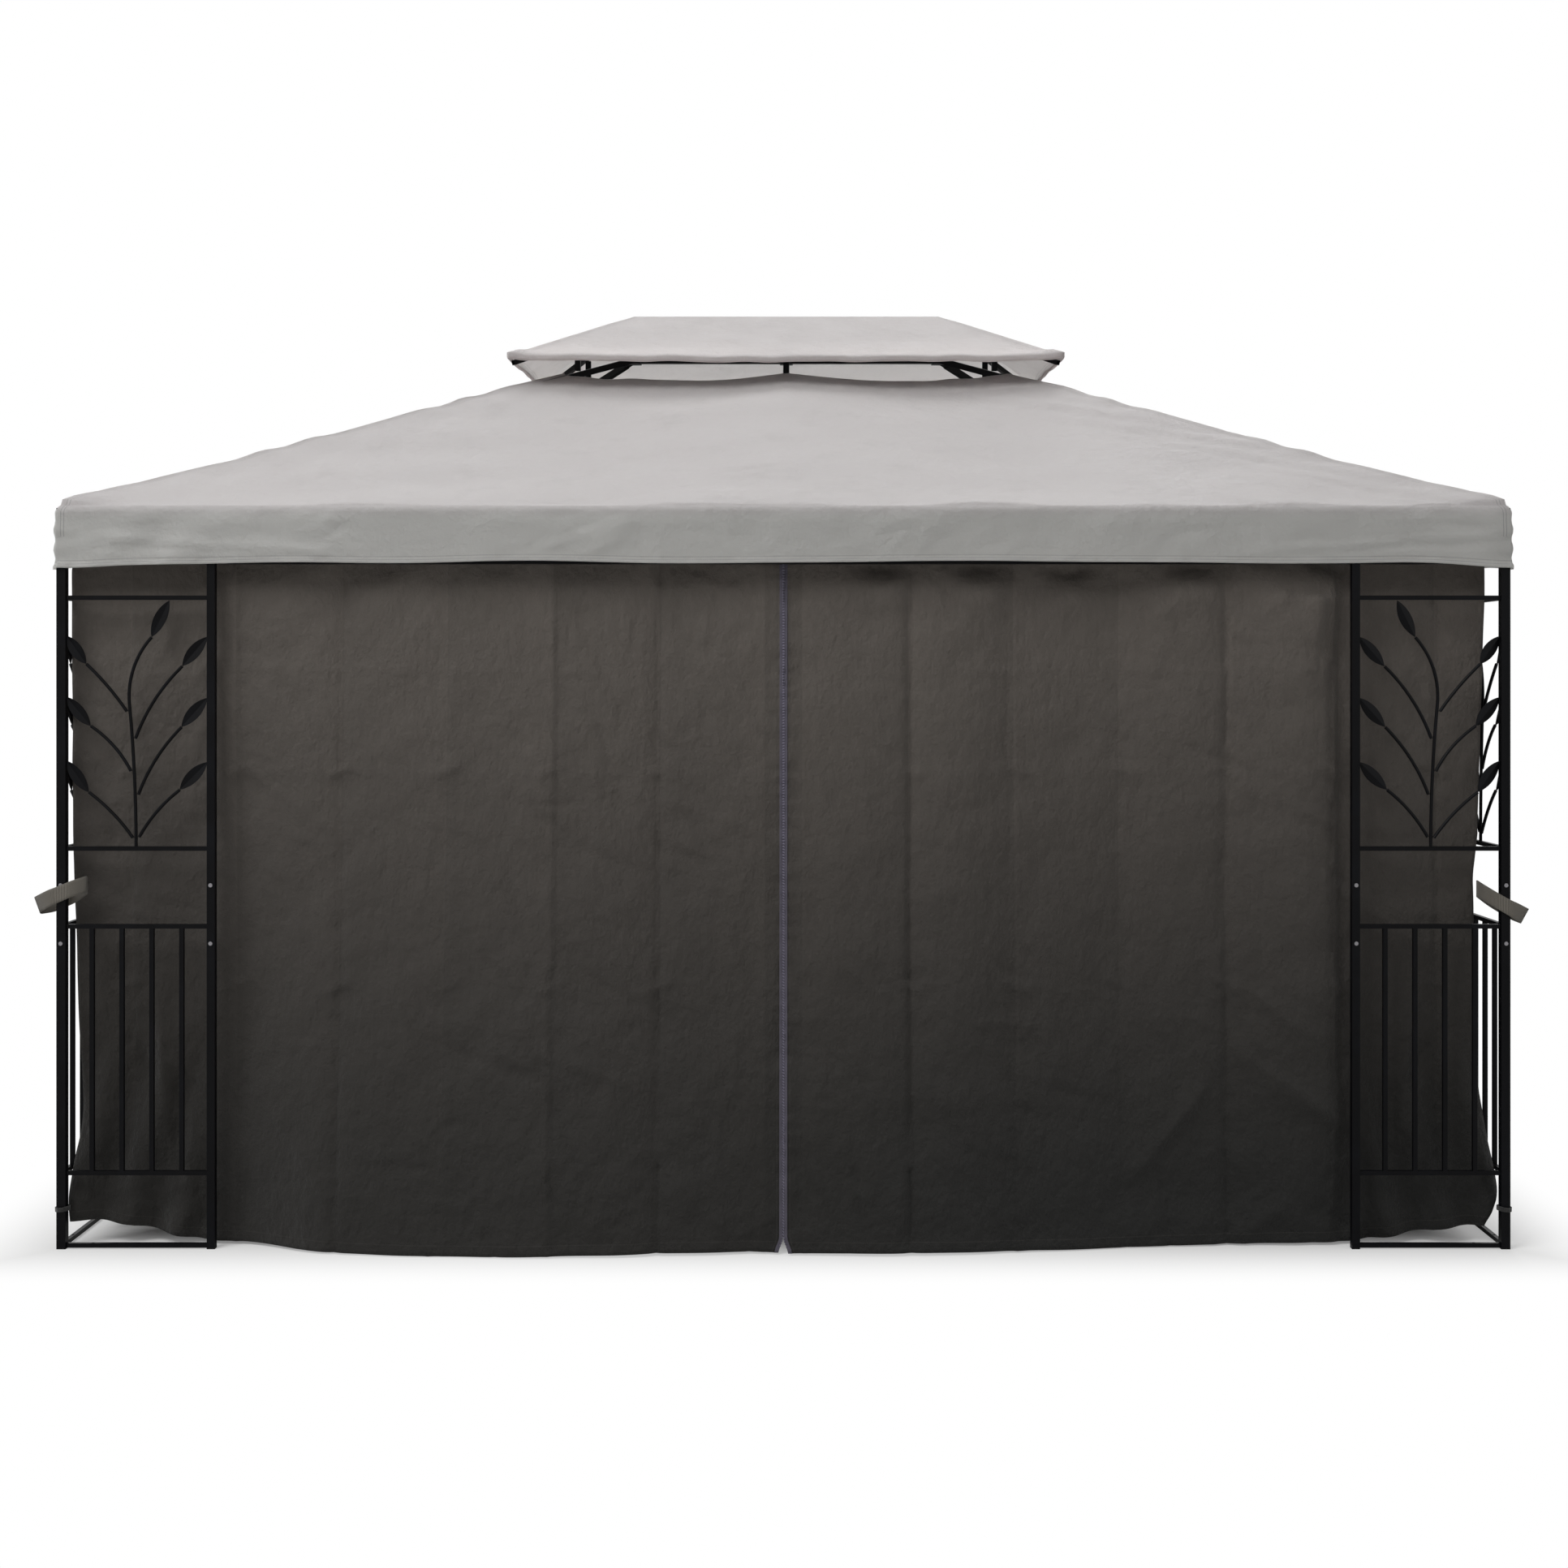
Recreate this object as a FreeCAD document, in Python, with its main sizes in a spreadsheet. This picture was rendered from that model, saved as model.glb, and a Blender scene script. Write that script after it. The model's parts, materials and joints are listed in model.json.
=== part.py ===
import FreeCAD, Part
import math
import os
import re

from FreeCAD import Placement, Rotation, Vector

# Garden gazebo of 3 x 4 m: square-tube frame, trellis corners, two-tier fabric roof and curtains.
# Millimetres, +Z up, origin on the ground at the middle of the plan. The long sides run along X,
# the front is the side at -Y, and left and right are as seen from the front.

doc = FreeCAD.newDocument("gazebo")
sheet = doc.addObject("Spreadsheet::Sheet", "Sizes")

SIZES = [
    ("CanopyLength", 4000, "canopy across the eaves, along X"),
    ("CanopyWidth", 3000, "canopy across the eaves, along Y"),
    ("EaveHeight", 2040, "top edge of the valance"),
    ("ValanceDrop", 152, "height of the hanging valance"),
    ("ClothThickness", 3, "cloth and its folds, as one slab"),
    ("RoofRise", 647, "main ridge line above the eaves"),
    ("RidgeLength", 1047, "main ridge line between the hips"),
    ("VentWidth", 450, "opening at the top of the main canopy, along Y"),
    ("CrownLength", 1820, "vent canopy across its eaves, along X"),
    ("CrownWidth", 780, "vent canopy across its eaves, along Y"),
    ("CrownEaveHeight", 2614, "edge of the vent canopy"),
    ("CrownRise", 206, "vent ridge line above its own eaves"),
    ("CrownRidgeLength", 1050, "vent ridge line between its hips"),
    ("CanopyGap", 3.3, "valance to the outside of a corner post"),
    ("CornerPostSide", 25, "corner post, square tube"),
    ("InnerPostSide", 22, "inner post of a trellis panel, square tube"),
    ("PostWall", 1.2, "wall of both posts"),
    ("PostTop", 2030, "top of all posts"),
    ("PostJoint", 920, "where the lower and upper posts meet"),
    ("TrellisPitch", 411, "corner post to inner post, between centres"),
    ("RailSide", 12, "rails and balusters, square tube"),
    ("RailWall", 1, "wall of rails and balusters"),
    ("UpperRail", 1790, "centre height of the rail over the branch"),
    ("MiddleRail", 1100, "centre height of the rail under the branch"),
    ("BalusterRail", 886, "centre height of the rail over the balusters"),
    ("LowerRail", 208, "centre height of the rail under the balusters"),
    ("BalusterCount", 4, "balusters in one panel"),
    ("PegHole", 9, "bore of a ground peg hole"),
    ("PegSpacing", 240, "between the two peg holes of a panel"),
    ("StemDiameter", 9, "branch, round bar"),
    ("LeafWidth", 34.5, "pressed leaf"),
    ("LeafSheet", 1.6, "sheet of a leaf"),
    ("LeafCrease", 14, "fold of a half leaf from the panel plane, degrees"),
    ("LeafTipGap", 0.9, "leaf tip to the frame that it is tacked to"),
    ("FootPlate", 3, "plastic foot under a post"),
    ("FootPlug", 22, "plug of the foot inside the post"),
    ("SleeveLength", 200, "inner sleeve over a post joint"),
    ("SleeveWall", 1.5, "wall of the inner sleeve"),
    ("BoltDiameter", 6, "panel bolt"),
    ("BoltHead", 11, "head and nut, across"),
    ("BoltHeadHeight", 3.5, "head and nut, high"),
    ("BoltRise", 80, "bolts above and below the post joint"),
    ("Clearance", 0.3, "between parts that slip over each other"),
    ("TopChordSide", 25, "upper tube of an eave beam"),
    ("BottomChordSide", 20, "lower tube of an eave beam"),
    ("BottomChordLow", 1884, "underside of the lower tube"),
    ("StrutCount", 5, "upright struts in one eave beam"),
    ("BeamEndGap", 2, "eave beam to the corner post"),
    ("RafterSide", 20, "rafters, square tube"),
    ("RafterWall", 1.2, "wall of the rafters"),
    ("RafterDrop", 0.48, "upper edges of a hip rafter under the cloth"),
    ("RidgeSide", 25, "main ridge, square tube"),
    ("HubSide", 44, "hub on a ridge, along both sides"),
    ("HubHeight", 30, "hub on the main ridge"),
    ("TongueLength", 70, "tongue inside a rafter end"),
    ("RafterStart", 60, "corner post centre to the hip rafter's low end, in plan"),
    ("MiddleRafterStart", 42, "beam centre to the middle rafter's low end, in plan"),
    ("BracketPlate", 6, "corner bracket over the post"),
    ("BracketPlug", 40, "corner bracket inside the post"),
    ("SaddleLength", 120, "beam coupler, along the beam"),
    ("SaddleWall", 2.5, "sheet of the beam coupler"),
    ("SaddleCheek", 12, "beam coupler down the sides of the upper tube"),
    ("CrownArmSide", 16, "arms and ridge of the crown frame, square tube"),
    ("CrownDrop", 3.95, "upper edges of a crown arm under the cloth"),
    ("CrownArmShort", 24, "crown arm's end to the vent canopy's edge, in plan"),
    ("StubSide", 19, "vent stub, square tube"),
    ("StubInset", 45, "hip stub to the vent edge, along Y"),
    ("MiddleStubInset", 28, "middle stub to the vent edge, along Y"),
    ("RailRod", 8, "curtain rail, round bar"),
    ("RailRodHeight", 1940, "centre height of the curtain rail"),
    ("RailRodInset", 12, "curtain rail to the eave beam's face"),
    ("RailRodShort", 74, "end of a rail to the corner post centre"),
    ("HangerSheet", 3, "sheet of a rail hanger"),
    ("HangerWidth", 20, "rail hanger, along the rail"),
    ("CurtainLow", 8, "hem above the ground"),
    ("CurtainMeeting", 4, "gap between two curtain halves, for the zip"),
    ("LongCurtainShort", 44, "outer edge of a long curtain to the corner post centre"),
    ("ShortCurtainShort", 174, "outer edge of a short curtain to the corner post centre"),
    ("RingRadius", 9, "curtain ring, to the middle of its wire"),
    ("RingWire", 2.4, "wire of a curtain ring"),
    ("RingPitch", 290, "between curtain rings"),
    ("RingFirst", 40, "first ring to the zip"),
    ("SliderWidth", 13, "zip slider, across"),
    ("SliderHeight", 24, "zip slider, up"),
    ("SliderPlate", 2.2, "one plate of the zip slider"),
    ("SliderLow", 42, "underside of the zip slider above the ground"),
    ("PullLength", 34, "pull of the zip slider"),
    ("PullWidth", 7, "pull of the zip slider"),
    ("StrapWidth", 45, "tie strap, up"),
    ("StrapSheet", 2, "tie strap"),
    ("StrapReach", 48, "tie strap past the outside of the corner post"),
    ("UpperStrap", 935, "lower edge of the upper tie straps"),
    ("LowerStrap", 100, "lower edge of the lower tie straps"),
]

for row, (alias, value, meaning) in enumerate(SIZES, start=1):
    sheet.set(f"A{row}", meaning)
    sheet.set(f"B{row}", str(value))
    sheet.setAlias(f"B{row}", alias)
doc.recompute()
size = {alias: float(sheet.get(alias)) for alias, value, meaning in SIZES}

# Places that several pieces share, as expressions on the sheet.
CORNER_X = "(CanopyLength / 2 - CanopyGap - CornerPostSide / 2)"
CORNER_Y = "(CanopyWidth / 2 - CanopyGap - CornerPostSide / 2)"
BEAM_X = "(CanopyLength / 2 - CanopyGap - CornerPostSide / 2 - InnerPostSide / 2 - TopChordSide / 2)"
BEAM_Y = "(CanopyWidth / 2 - CanopyGap - CornerPostSide / 2 - InnerPostSide / 2 - TopChordSide / 2)"
ROD_X = f"({BEAM_X} - TopChordSide / 2 - RailRodInset)"
ROD_Y = f"({BEAM_Y} - TopChordSide / 2 - RailRodInset)"
RAIL_START = "(CornerPostSide / 2)"
RAIL_LENGTH = "(TrellisPitch - CornerPostSide / 2 - InnerPostSide / 2)"
GROUND_RAIL = "(FootPlate + RailSide / 2)"
RING_HEIGHT = "(RailRodHeight + RailRod / 2 + Clearance + RingWire / 2 - RingRadius)"
CURTAIN_TOP = f"({RING_HEIGHT} - RingRadius - RingWire / 2 - Clearance)"

AXIS_TURN = {
    0: Rotation(Vector(0, 1, 0), 90),
    1: Rotation(Vector(1, 0, 0), -90),
    2: Rotation(),
}
CORNERS = {
    "front_left": (-1, -1),
    "front_right": (1, -1),
    "back_left": (-1, 1),
    "back_right": (1, 1),
}
nodes = []


def bind(item, prop, text):
    """Bind one property to an expression whose capitalised words are cells of the sheet."""
    item.setExpression(prop, re.sub(r"\b([A-Z][A-Za-z]+)\b", r"Sizes.\1", str(text)))


def worth(text):
    """The number that such an expression has with the sheet's present values."""
    words = re.sub(r"\b([A-Z][A-Za-z]+)\b", lambda found: str(size[found.group(1)]), text)
    total = FreeCAD.Units.Quantity(words)
    return float(total.Value)


def box(name, sides, corner):
    """A box from its three sides and its lowest corner."""
    made = doc.addObject("Part::Box", name)
    for prop, text in zip(("Length", "Width", "Height"), sides):
        bind(made, prop, text)
    for prop, text in zip("xyz", corner):
        bind(made, "Placement.Base." + prop, text)
    return made


def bar(name, axis, side, length, start):
    """A square bar along an axis from the middle of its first end."""
    sides = [side] * 3
    sides[axis] = length
    corner = [f"({place}) - ({side}) / 2" for place in start]
    corner[axis] = start[axis]
    return box(name, sides, corner)


def rod(name, axis, diameter, length, start):
    """A round bar along an axis from the middle of its first end."""
    made = doc.addObject("Part::Cylinder", name)
    made.Placement = Placement(Vector(), AXIS_TURN[axis])
    bind(made, "Radius", f"({diameter}) / 2")
    bind(made, "Height", length)
    for prop, text in zip("xyz", start):
        bind(made, "Placement.Base." + prop, text)
    return made


def cut(name, base, tool):
    """One shape less another."""
    made = doc.addObject("Part::Cut", name)
    made.Base = base
    made.Tool = tool
    return made


def fuse(name, members):
    """Several shapes made one solid."""
    made = doc.addObject("Part::MultiFuse", name)
    made.Shapes = members
    return made


def group(name, members, place=None):
    """Separate solids held together as one object."""
    made = doc.addObject("Part::Compound", name)
    made.Links = members
    if place:
        made.Placement = place
    return made


def node(label, members, place=None):
    """A named sub-part of the gazebo, as a group of its separate solids."""
    made = group(label, members, place)
    made.Label = label
    nodes.append(made)
    return made


def tube(name, axis, side, wall, length, start, holes=()):
    """A square tube along an axis, drilled by the given round bars."""
    outside = bar(name + "_outside", axis, side, length, start)
    bore = bar(name + "_bore", axis, f"({side}) - 2 * {wall}", length, start)
    made = cut(name, outside, bore)
    for number, hole in enumerate(holes):
        made = cut(f"{name}_drilled_{number}", made, hole)
    return made


def along(start, end, across):
    """The placement of a bar that runs from start towards end, lying centred on that line."""
    run = end - start
    heading = math.degrees(math.atan2(run.y, run.x))
    climb = math.degrees(math.asin(run.z / run.Length))
    return Placement(start, Rotation(heading, -climb, 0)) * Placement(
        Vector(0, -across / 2, -across / 2), Rotation()
    )


def sloped_bar(name, side, start, end):
    """A square bar between two points."""
    made = doc.addObject("Part::Box", name)
    made.Length = (end - start).Length
    bind(made, "Width", side)
    bind(made, "Height", side)
    made.Placement = along(start, end, worth(side))
    return made


def sloped_tube(name, side, wall, start, end):
    """A square tube between two points."""
    outside = sloped_bar(name + "_outside", side, start, end)
    bore = sloped_bar(name + "_bore", f"({side}) - 2 * {wall}", start, end)
    return cut(name, outside, bore)


def solid_piece(name, shape, place=None):
    """A piece whose outline follows a formula, kept as a plain feature."""
    made = doc.addObject("Part::Feature", name)
    made.Shape = shape
    if place:
        made.Placement = place
    return made


# ---------------------------------------------------------------- posts, feet, sleeves and bolts


def post_pair(name, side, x, y, bolt_axis):
    """The lower and upper tube of one post, with the holes of its two joint bolts."""
    height = {"lower": "PostJoint - BoltRise", "upper": "PostJoint + BoltRise"}
    reach = f"({side}) + 2 * BoltHeadHeight"
    made = {}
    for half, bolt_height in height.items():
        start = [x, y, bolt_height]
        start[bolt_axis] = f"({start[bolt_axis]}) - ({reach}) / 2"
        hole = rod(f"{name}_{half}_hole", bolt_axis, "BoltDiameter + 2 * Clearance", reach, start)
        low = "FootPlate" if half == "lower" else "PostJoint"
        length = "PostJoint - FootPlate" if half == "lower" else "PostTop - PostJoint"
        made[half] = tube(f"{name}_{half}", 2, side, "PostWall", length, (x, y, low), [hole])
    return made


def sleeve(name, side, x, y, bolt_axis):
    """The tube inside a post over its joint, drilled for both bolts."""
    outside = f"({side}) - 2 * PostWall - 2 * Clearance"
    holes = []
    for number, height in enumerate(("PostJoint - BoltRise", "PostJoint + BoltRise")):
        start = [x, y, height]
        start[bolt_axis] = f"({start[bolt_axis]}) - ({side}) / 2"
        holes.append(rod(f"{name}_hole_{number}", bolt_axis, "BoltDiameter + 2 * Clearance", side, start))
    low = (x, y, "PostJoint - SleeveLength / 2")
    return tube(name, 2, outside, "SleeveWall", "SleeveLength", low, holes)


def bolt(name, side, x, y, height, bolt_axis):
    """A bolt through a post: head, shank and nut in one."""
    members = []
    parts = {
        "shank": ("BoltDiameter", f"({side}) + 2 * BoltHeadHeight", f"({side}) / 2 + BoltHeadHeight"),
        "head": ("BoltHead", "BoltHeadHeight", f"({side}) / 2 + BoltHeadHeight"),
        "nut": ("BoltHead", "BoltHeadHeight", f"0 - ({side}) / 2"),
    }
    for part, (diameter, length, back) in parts.items():
        start = [x, y, height]
        start[bolt_axis] = f"({start[bolt_axis]}) - ({back})"
        members.append(rod(f"{name}_{part}", bolt_axis, diameter, length, start))
    return fuse(name, members)


def foot(name, side, x, y):
    """A plastic foot: a plate under the post and a plug inside it."""
    plate = bar(name + "_plate", 2, side, "FootPlate", (x, y, "0"))
    plug = bar(
        name + "_plug", 2, f"({side}) - 2 * PostWall - 2 * Clearance", "FootPlate + FootPlug", (x, y, "0")
    )
    return fuse(name, [plate, plug])


# The panel's own frame: its corner post's centre at the origin, the panel along +X, upright.
panel_post = post_pair("inner_post", "InnerPostSide", "TrellisPitch", "0", 1)


def panel_rail(name, height, holes=()):
    """A rail from the corner post's face to the inner post's face."""
    return tube(name, 0, "RailSide", "RailWall", RAIL_LENGTH, (RAIL_START, "0", height), holes)


def bend(start, heading, end):
    """The arc from start that leaves along a heading and ends at a point."""
    chord = end - start
    side = heading.cross(chord).cross(heading)
    side.normalize()
    radius = chord.Length**2 / (2 * chord.dot(side))
    centre = start + side * radius
    middle = (start + end) / 2 - centre
    middle.normalize()
    return Part.Arc(start, centre + middle * abs(radius), end)


def stem_bar(path, start, heading):
    """A round bar of the stem's diameter along a path."""
    ring = Part.Wire([Part.makeCircle(size["StemDiameter"] / 2, start, heading)])
    return path.makePipeShell([ring], True, False)


def side_stem(points, main_path):
    """An arc through three points, begun where it just clears the main stem that it is tacked to."""
    arc = Part.Arc(*points)
    low, last = arc.FirstParameter, arc.LastParameter
    high = last
    radius = size["StemDiameter"] / 2
    for _ in range(30):
        middle = (low + high) / 2
        near, ends, _ = Part.Vertex(arc.value(middle)).distToShape(main_path)
        toward = (ends[0][1] - ends[0][0]) / near
        rim = radius * math.sqrt(1 - toward.dot(arc.tangent(middle)[0]) ** 2)
        if near < rim + radius + size["Clearance"]:
            low = middle
        else:
            high = middle
    path = Part.Wire([arc.toShape(high, last)])
    return stem_bar(path, arc.value(high), arc.tangent(high)[0])


def branch_spray():
    """A branch with seven leaves, in shares of the clear opening that it fills.

    The main stem is two arcs that run into each other. Each side stem is one arc through three
    points, and every stem ends in a leaf.
    """
    low_x = worth(RAIL_START)
    wide = worth(RAIL_LENGTH)
    low_z = worth("MiddleRail + RailSide / 2")
    high = worth("UpperRail - MiddleRail - RailSide")
    gap = size["Clearance"]

    def spot(across, up):
        return Vector(low_x + across * wide, 0, low_z + gap + up * (high - 2 * gap))

    root, waist, top = spot(0.491, 0), spot(0.444, 0.577), spot(0.601, 0.849)
    upward = Vector(0, 0, 1)
    lower = bend(root, upward, waist)
    leaning = waist - root
    leaning.normalize()
    onward = leaning * (2 * leaning.dot(upward)) - upward
    main_path = Part.Wire([lower.toShape(), bend(waist, onward, top).toShape()])
    side_stems = [
        ([(0.443, 0.533), (0.286, 0.652), (0.139, 0.74)], (0, 0.855)),
        ([(0.472, 0.284), (0.286, 0.435), (0.171, 0.488)], (0, 0.607)),
        ([(0.485, 0.02), (0.257, 0.172), (0.157, 0.219)], (0, 0.348)),
        ([(0.468, 0.405), (0.617, 0.589), (0.819, 0.731)], (1, 0.852)),
        ([(0.486, 0.173), (0.654, 0.373), (0.814, 0.484)], (1, 0.604)),
        ([(0.497, 0.02), (0.664, 0.157), (0.801, 0.229)], (1, 0.343)),
    ]
    made = [stem_bar(main_path, root, upward), *leaf(top, spot(0.73, 1))]
    for shares, tip_share in side_stems:
        points = [spot(*share) for share in shares]
        made += [side_stem(points, main_path), *leaf(points[-1], spot(*tip_share))]
    return Part.makeCompound(made)


def leaf(base, tip):
    """Two half leaves that meet at the midrib, each an arc folded up from the panel plane.

    The leaf starts just past the end of its stem and stops short of the frame.
    """
    run = tip - base
    start = base + run * (size["Clearance"] / run.Length)
    length = (tip - start).Length - size["LeafTipGap"]
    heading = math.degrees(math.atan2(run.z, run.x))
    upright = Placement(start, Rotation(Vector(0, 1, 0), -heading)) * Placement(
        Vector(), Rotation(Vector(1, 0, 0), 90)
    )
    rise = size["LeafWidth"] / 2 * math.tan(math.radians(size["LeafCrease"]))
    halves = []
    for side in (1, -1):
        top = Vector(length / 2, side * size["LeafWidth"] / 2, rise)
        edge = Part.Arc(Vector(), top, Vector(length, 0, 0)).toShape()
        midrib = Part.LineSegment(Vector(length, 0, 0), Vector()).toShape()
        half = Part.Face(Part.Wire([edge, midrib])).extrude(Vector(0, 0, size["LeafSheet"]))
        half.Placement = upright * half.Placement
        halves.append(half)
    return halves


upper_rails = [panel_rail("upper_rail", "UpperRail"), panel_rail("middle_rail", "MiddleRail")]
spray = solid_piece("branch_spray", branch_spray())
leaf_panel = group("leaf_panel", [panel_post["upper"], *upper_rails, spray])

peg_holes = []
for peg_side in (-1, 1):
    peg_place = f"TrellisPitch / 2 + {peg_side} * PegSpacing / 2"
    peg_start = (peg_place, "0", "FootPlate")
    peg_holes.append(rod(f"peg_hole_{peg_side + 1}", 2, "PegHole", "RailSide", peg_start))
lower_rails = [
    panel_rail("baluster_rail", "BalusterRail"),
    panel_rail("lower_rail", "LowerRail"),
    panel_rail("ground_rail", GROUND_RAIL, peg_holes),
]
balusters = []
for count in range(int(size["BalusterCount"])):
    place = f"TrellisPitch * {count + 1} / (BalusterCount + 1)"
    low = (place, "0", "LowerRail + RailSide / 2")
    span = "BalusterRail - LowerRail - RailSide"
    balusters.append(tube(f"baluster_{count}", 2, "RailSide", "RailWall", span, low))
baluster_panel = group("baluster_panel", [panel_post["lower"], *lower_rails, *balusters])

post_sleeve = sleeve("inner_sleeve", "InnerPostSide", "TrellisPitch", "0", 1)
post_foot = foot("inner_foot", "InnerPostSide", "TrellisPitch", "0")
panel_bolts = [
    bolt("inner_bolt_low", "InnerPostSide", "TrellisPitch", "0", "PostJoint - BoltRise", 1),
    bolt("inner_bolt_high", "InnerPostSide", "TrellisPitch", "0", "PostJoint + BoltRise", 1),
]

# A panel lies along X or Y from its corner post: its name says its side first, then its end.
sleeves, bolts, feet = [], [], []
for corner, (side_x, side_y) in CORNERS.items():
    end_y, end_x = corner.split("_")
    centre = Vector(side_x * worth(CORNER_X), side_y * worth(CORNER_Y), 0)
    turns = {
        f"{end_y}_{end_x}": 0 if side_x < 0 else 180,
        f"{end_x}_{end_y}": 90 if side_y < 0 else 270,
    }
    for panel_name, turn in turns.items():
        place = Placement(centre, Rotation(Vector(0, 0, 1), turn))
        node("leaf_panel_" + panel_name, [leaf_panel], place)
        node("baluster_panel_" + panel_name, [baluster_panel], place)
        sleeves.append(group("sleeve_" + panel_name, [post_sleeve], place))
        bolts.append(group("bolts_" + panel_name, panel_bolts, place))
        feet.append(group("foot_" + panel_name, [post_foot], place))
    x = f"{side_x} * {CORNER_X}"
    y = f"{side_y} * {CORNER_Y}"
    pair = post_pair("post_" + corner, "CornerPostSide", x, y, 1)
    node("corner_post_" + corner, list(pair.values()))
    sleeves.append(sleeve("corner_sleeve_" + corner, "CornerPostSide", x, y, 1))
    feet.append(foot("corner_foot_" + corner, "CornerPostSide", x, y))
    for level, height in (("low", "PostJoint - BoltRise"), ("high", "PostJoint + BoltRise")):
        bolts.append(bolt(f"corner_bolt_{level}_{corner}", "CornerPostSide", x, y, height, 1))
node("tube_sleeves", sleeves)
node("panel_bolts", bolts)
node("post_feet", feet)

# ---------------------------------------------------------------- eave beams and their couplers


def eave_beam(label, axis, start, length, line):
    """Two chords with upright struts between them, along an axis at the given line."""
    members = []
    across = 1 - axis
    chords = {
        "top": ("TopChordSide", "PostTop - TopChordSide / 2"),
        "bottom": ("BottomChordSide", "BottomChordLow + BottomChordSide / 2"),
    }
    for chord, (side, height) in chords.items():
        first = [start, start, height]
        first[across] = line
        members.append(tube(f"{label}_{chord}", axis, side, "RafterWall", length, first))
    for count in range(int(size["StrutCount"])):
        share = (count + 0.5) / size["StrutCount"]
        first = [f"{start} + {share} * ({length})"] * 2 + ["BottomChordLow + BottomChordSide"]
        first[across] = line
        rise = "PostTop - TopChordSide - BottomChordLow - BottomChordSide"
        members.append(tube(f"{label}_strut_{count}", 2, "RailSide", "RailWall", rise, first))
    return node(label, members)


BEAM_END = f"({CORNER_X} - CornerPostSide / 2 - BeamEndGap)"
SHORT_END = f"({BEAM_Y} - TopChordSide / 2)"
for end, side_y in (("front", -1), ("back", 1)):
    line = f"{side_y} * {BEAM_Y}"
    eave_beam(f"eave_beam_{end}_left", 0, f"(0 - {BEAM_END})", BEAM_END, line)
    eave_beam(f"eave_beam_{end}_right", 0, "(0)", BEAM_END, line)
for end, side_x in (("left", -1), ("right", 1)):
    eave_beam(f"eave_beam_{end}", 1, f"(0 - {SHORT_END})", f"2 * {SHORT_END}", f"{side_x} * {BEAM_X}")

# ---------------------------------------------------------------- roof frame

# Lines on top of the cloth, from which all rafters hang by the same drop.
eave_corner = Vector(size["CanopyLength"] / 2, size["CanopyWidth"] / 2, size["EaveHeight"])
ridge_end = Vector(size["RidgeLength"] / 2, 0, size["EaveHeight"] + size["RoofRise"])
crown_corner = Vector(size["CrownLength"] / 2, size["CrownWidth"] / 2, size["CrownEaveHeight"])
crown_end = Vector(size["CrownRidgeLength"] / 2, 0, size["CrownEaveHeight"] + size["CrownRise"])
TONGUE_SIDE = "(RafterSide - 2 * RafterWall - 2 * Clearance)"
CROWN_TONGUE = "(CrownArmSide - 2 * RafterWall - 2 * Clearance)"


def centre_line(low, top, side, drop):
    """A roof line lowered so that a bar of this side hangs by the drop under it."""
    run = top - low
    plan = math.hypot(run.x, run.y)
    down = Vector(0, 0, -(drop + side / 2 * run.Length / plan))
    return low + down, top + down


def hang(eave, ridge, side, gap):
    """How far a bar on a hip lies under the top of the cloth, so that its upper edges clear it.

    The cloth falls away on both sides of the hip, and the steeper panel decides.
    """
    run = ridge - eave
    plan = math.hypot(run.x, run.y)
    end_panel = abs(run.z / run.x) * abs(run.y) / plan
    long_panel = abs(run.z / run.y) * abs(run.x) / plan
    return size["ClothThickness"] + gap + side / 2 * max(end_panel, long_panel)


def on_plan(start, end, distance):
    """The point of a line at a plan distance from its start."""
    run = end - start
    return start + run * (distance / math.hypot(run.x, run.y))


def flip(point, side_x, side_y):
    """The same point in another quarter of the plan."""
    return Vector(side_x * point.x, side_y * point.y, point.z)


rafter_hang = hang(eave_corner, ridge_end, size["RafterSide"], size["RafterDrop"])
hip_low, hip_top = centre_line(eave_corner, ridge_end, size["RafterSide"], rafter_hang)
post_inset = math.hypot(eave_corner.x - worth(CORNER_X), eave_corner.y - worth(CORNER_Y))
hip_start = post_inset + size["RafterStart"]
hip_plan = math.hypot(hip_top.x - hip_low.x, hip_top.y - hip_low.y)
hub_gap = size["HubSide"]
rafter_low = on_plan(hip_low, hip_top, hip_start)
rafter_top = on_plan(hip_low, hip_top, hip_plan - hub_gap)
hip_tongue_low = on_plan(hip_low, hip_top, hip_start + size["TongueLength"])
hip_tongue_top = on_plan(hip_low, hip_top, hip_plan - hub_gap - size["TongueLength"])
bracket_root = on_plan(hip_low, hip_top, post_inset)

for corner, (side_x, side_y) in CORNERS.items():
    ends = [flip(point, side_x, side_y) for point in (rafter_low, rafter_top)]
    node("hip_rafter_" + corner, [sloped_tube("hip_" + corner, "RafterSide", "RafterWall", *ends)])
    x = f"{side_x} * {CORNER_X}"
    y = f"{side_y} * {CORNER_Y}"
    name = "bracket_" + corner
    tongue_ends = [flip(point, side_x, side_y) for point in (bracket_root, hip_tongue_low)]
    tongue = sloped_bar(name + "_tongue", TONGUE_SIDE, *tongue_ends)
    below = bar(name + "_below", 2, "3 * CornerPostSide", "BracketPlug", (x, y, "PostTop - BracketPlug"))
    cap = bar(name + "_cap", 2, "CornerPostSide", "BracketPlate", (x, y, "PostTop"))
    plug_side = "CornerPostSide - 2 * PostWall - 2 * Clearance"
    plug_height = "BracketPlug + BracketPlate"
    plug = bar(name + "_plug", 2, plug_side, plug_height, (x, y, "PostTop - BracketPlug"))
    node("corner_" + name, [fuse(name, [cut(name + "_arm", tongue, below), cap, plug])])

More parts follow.
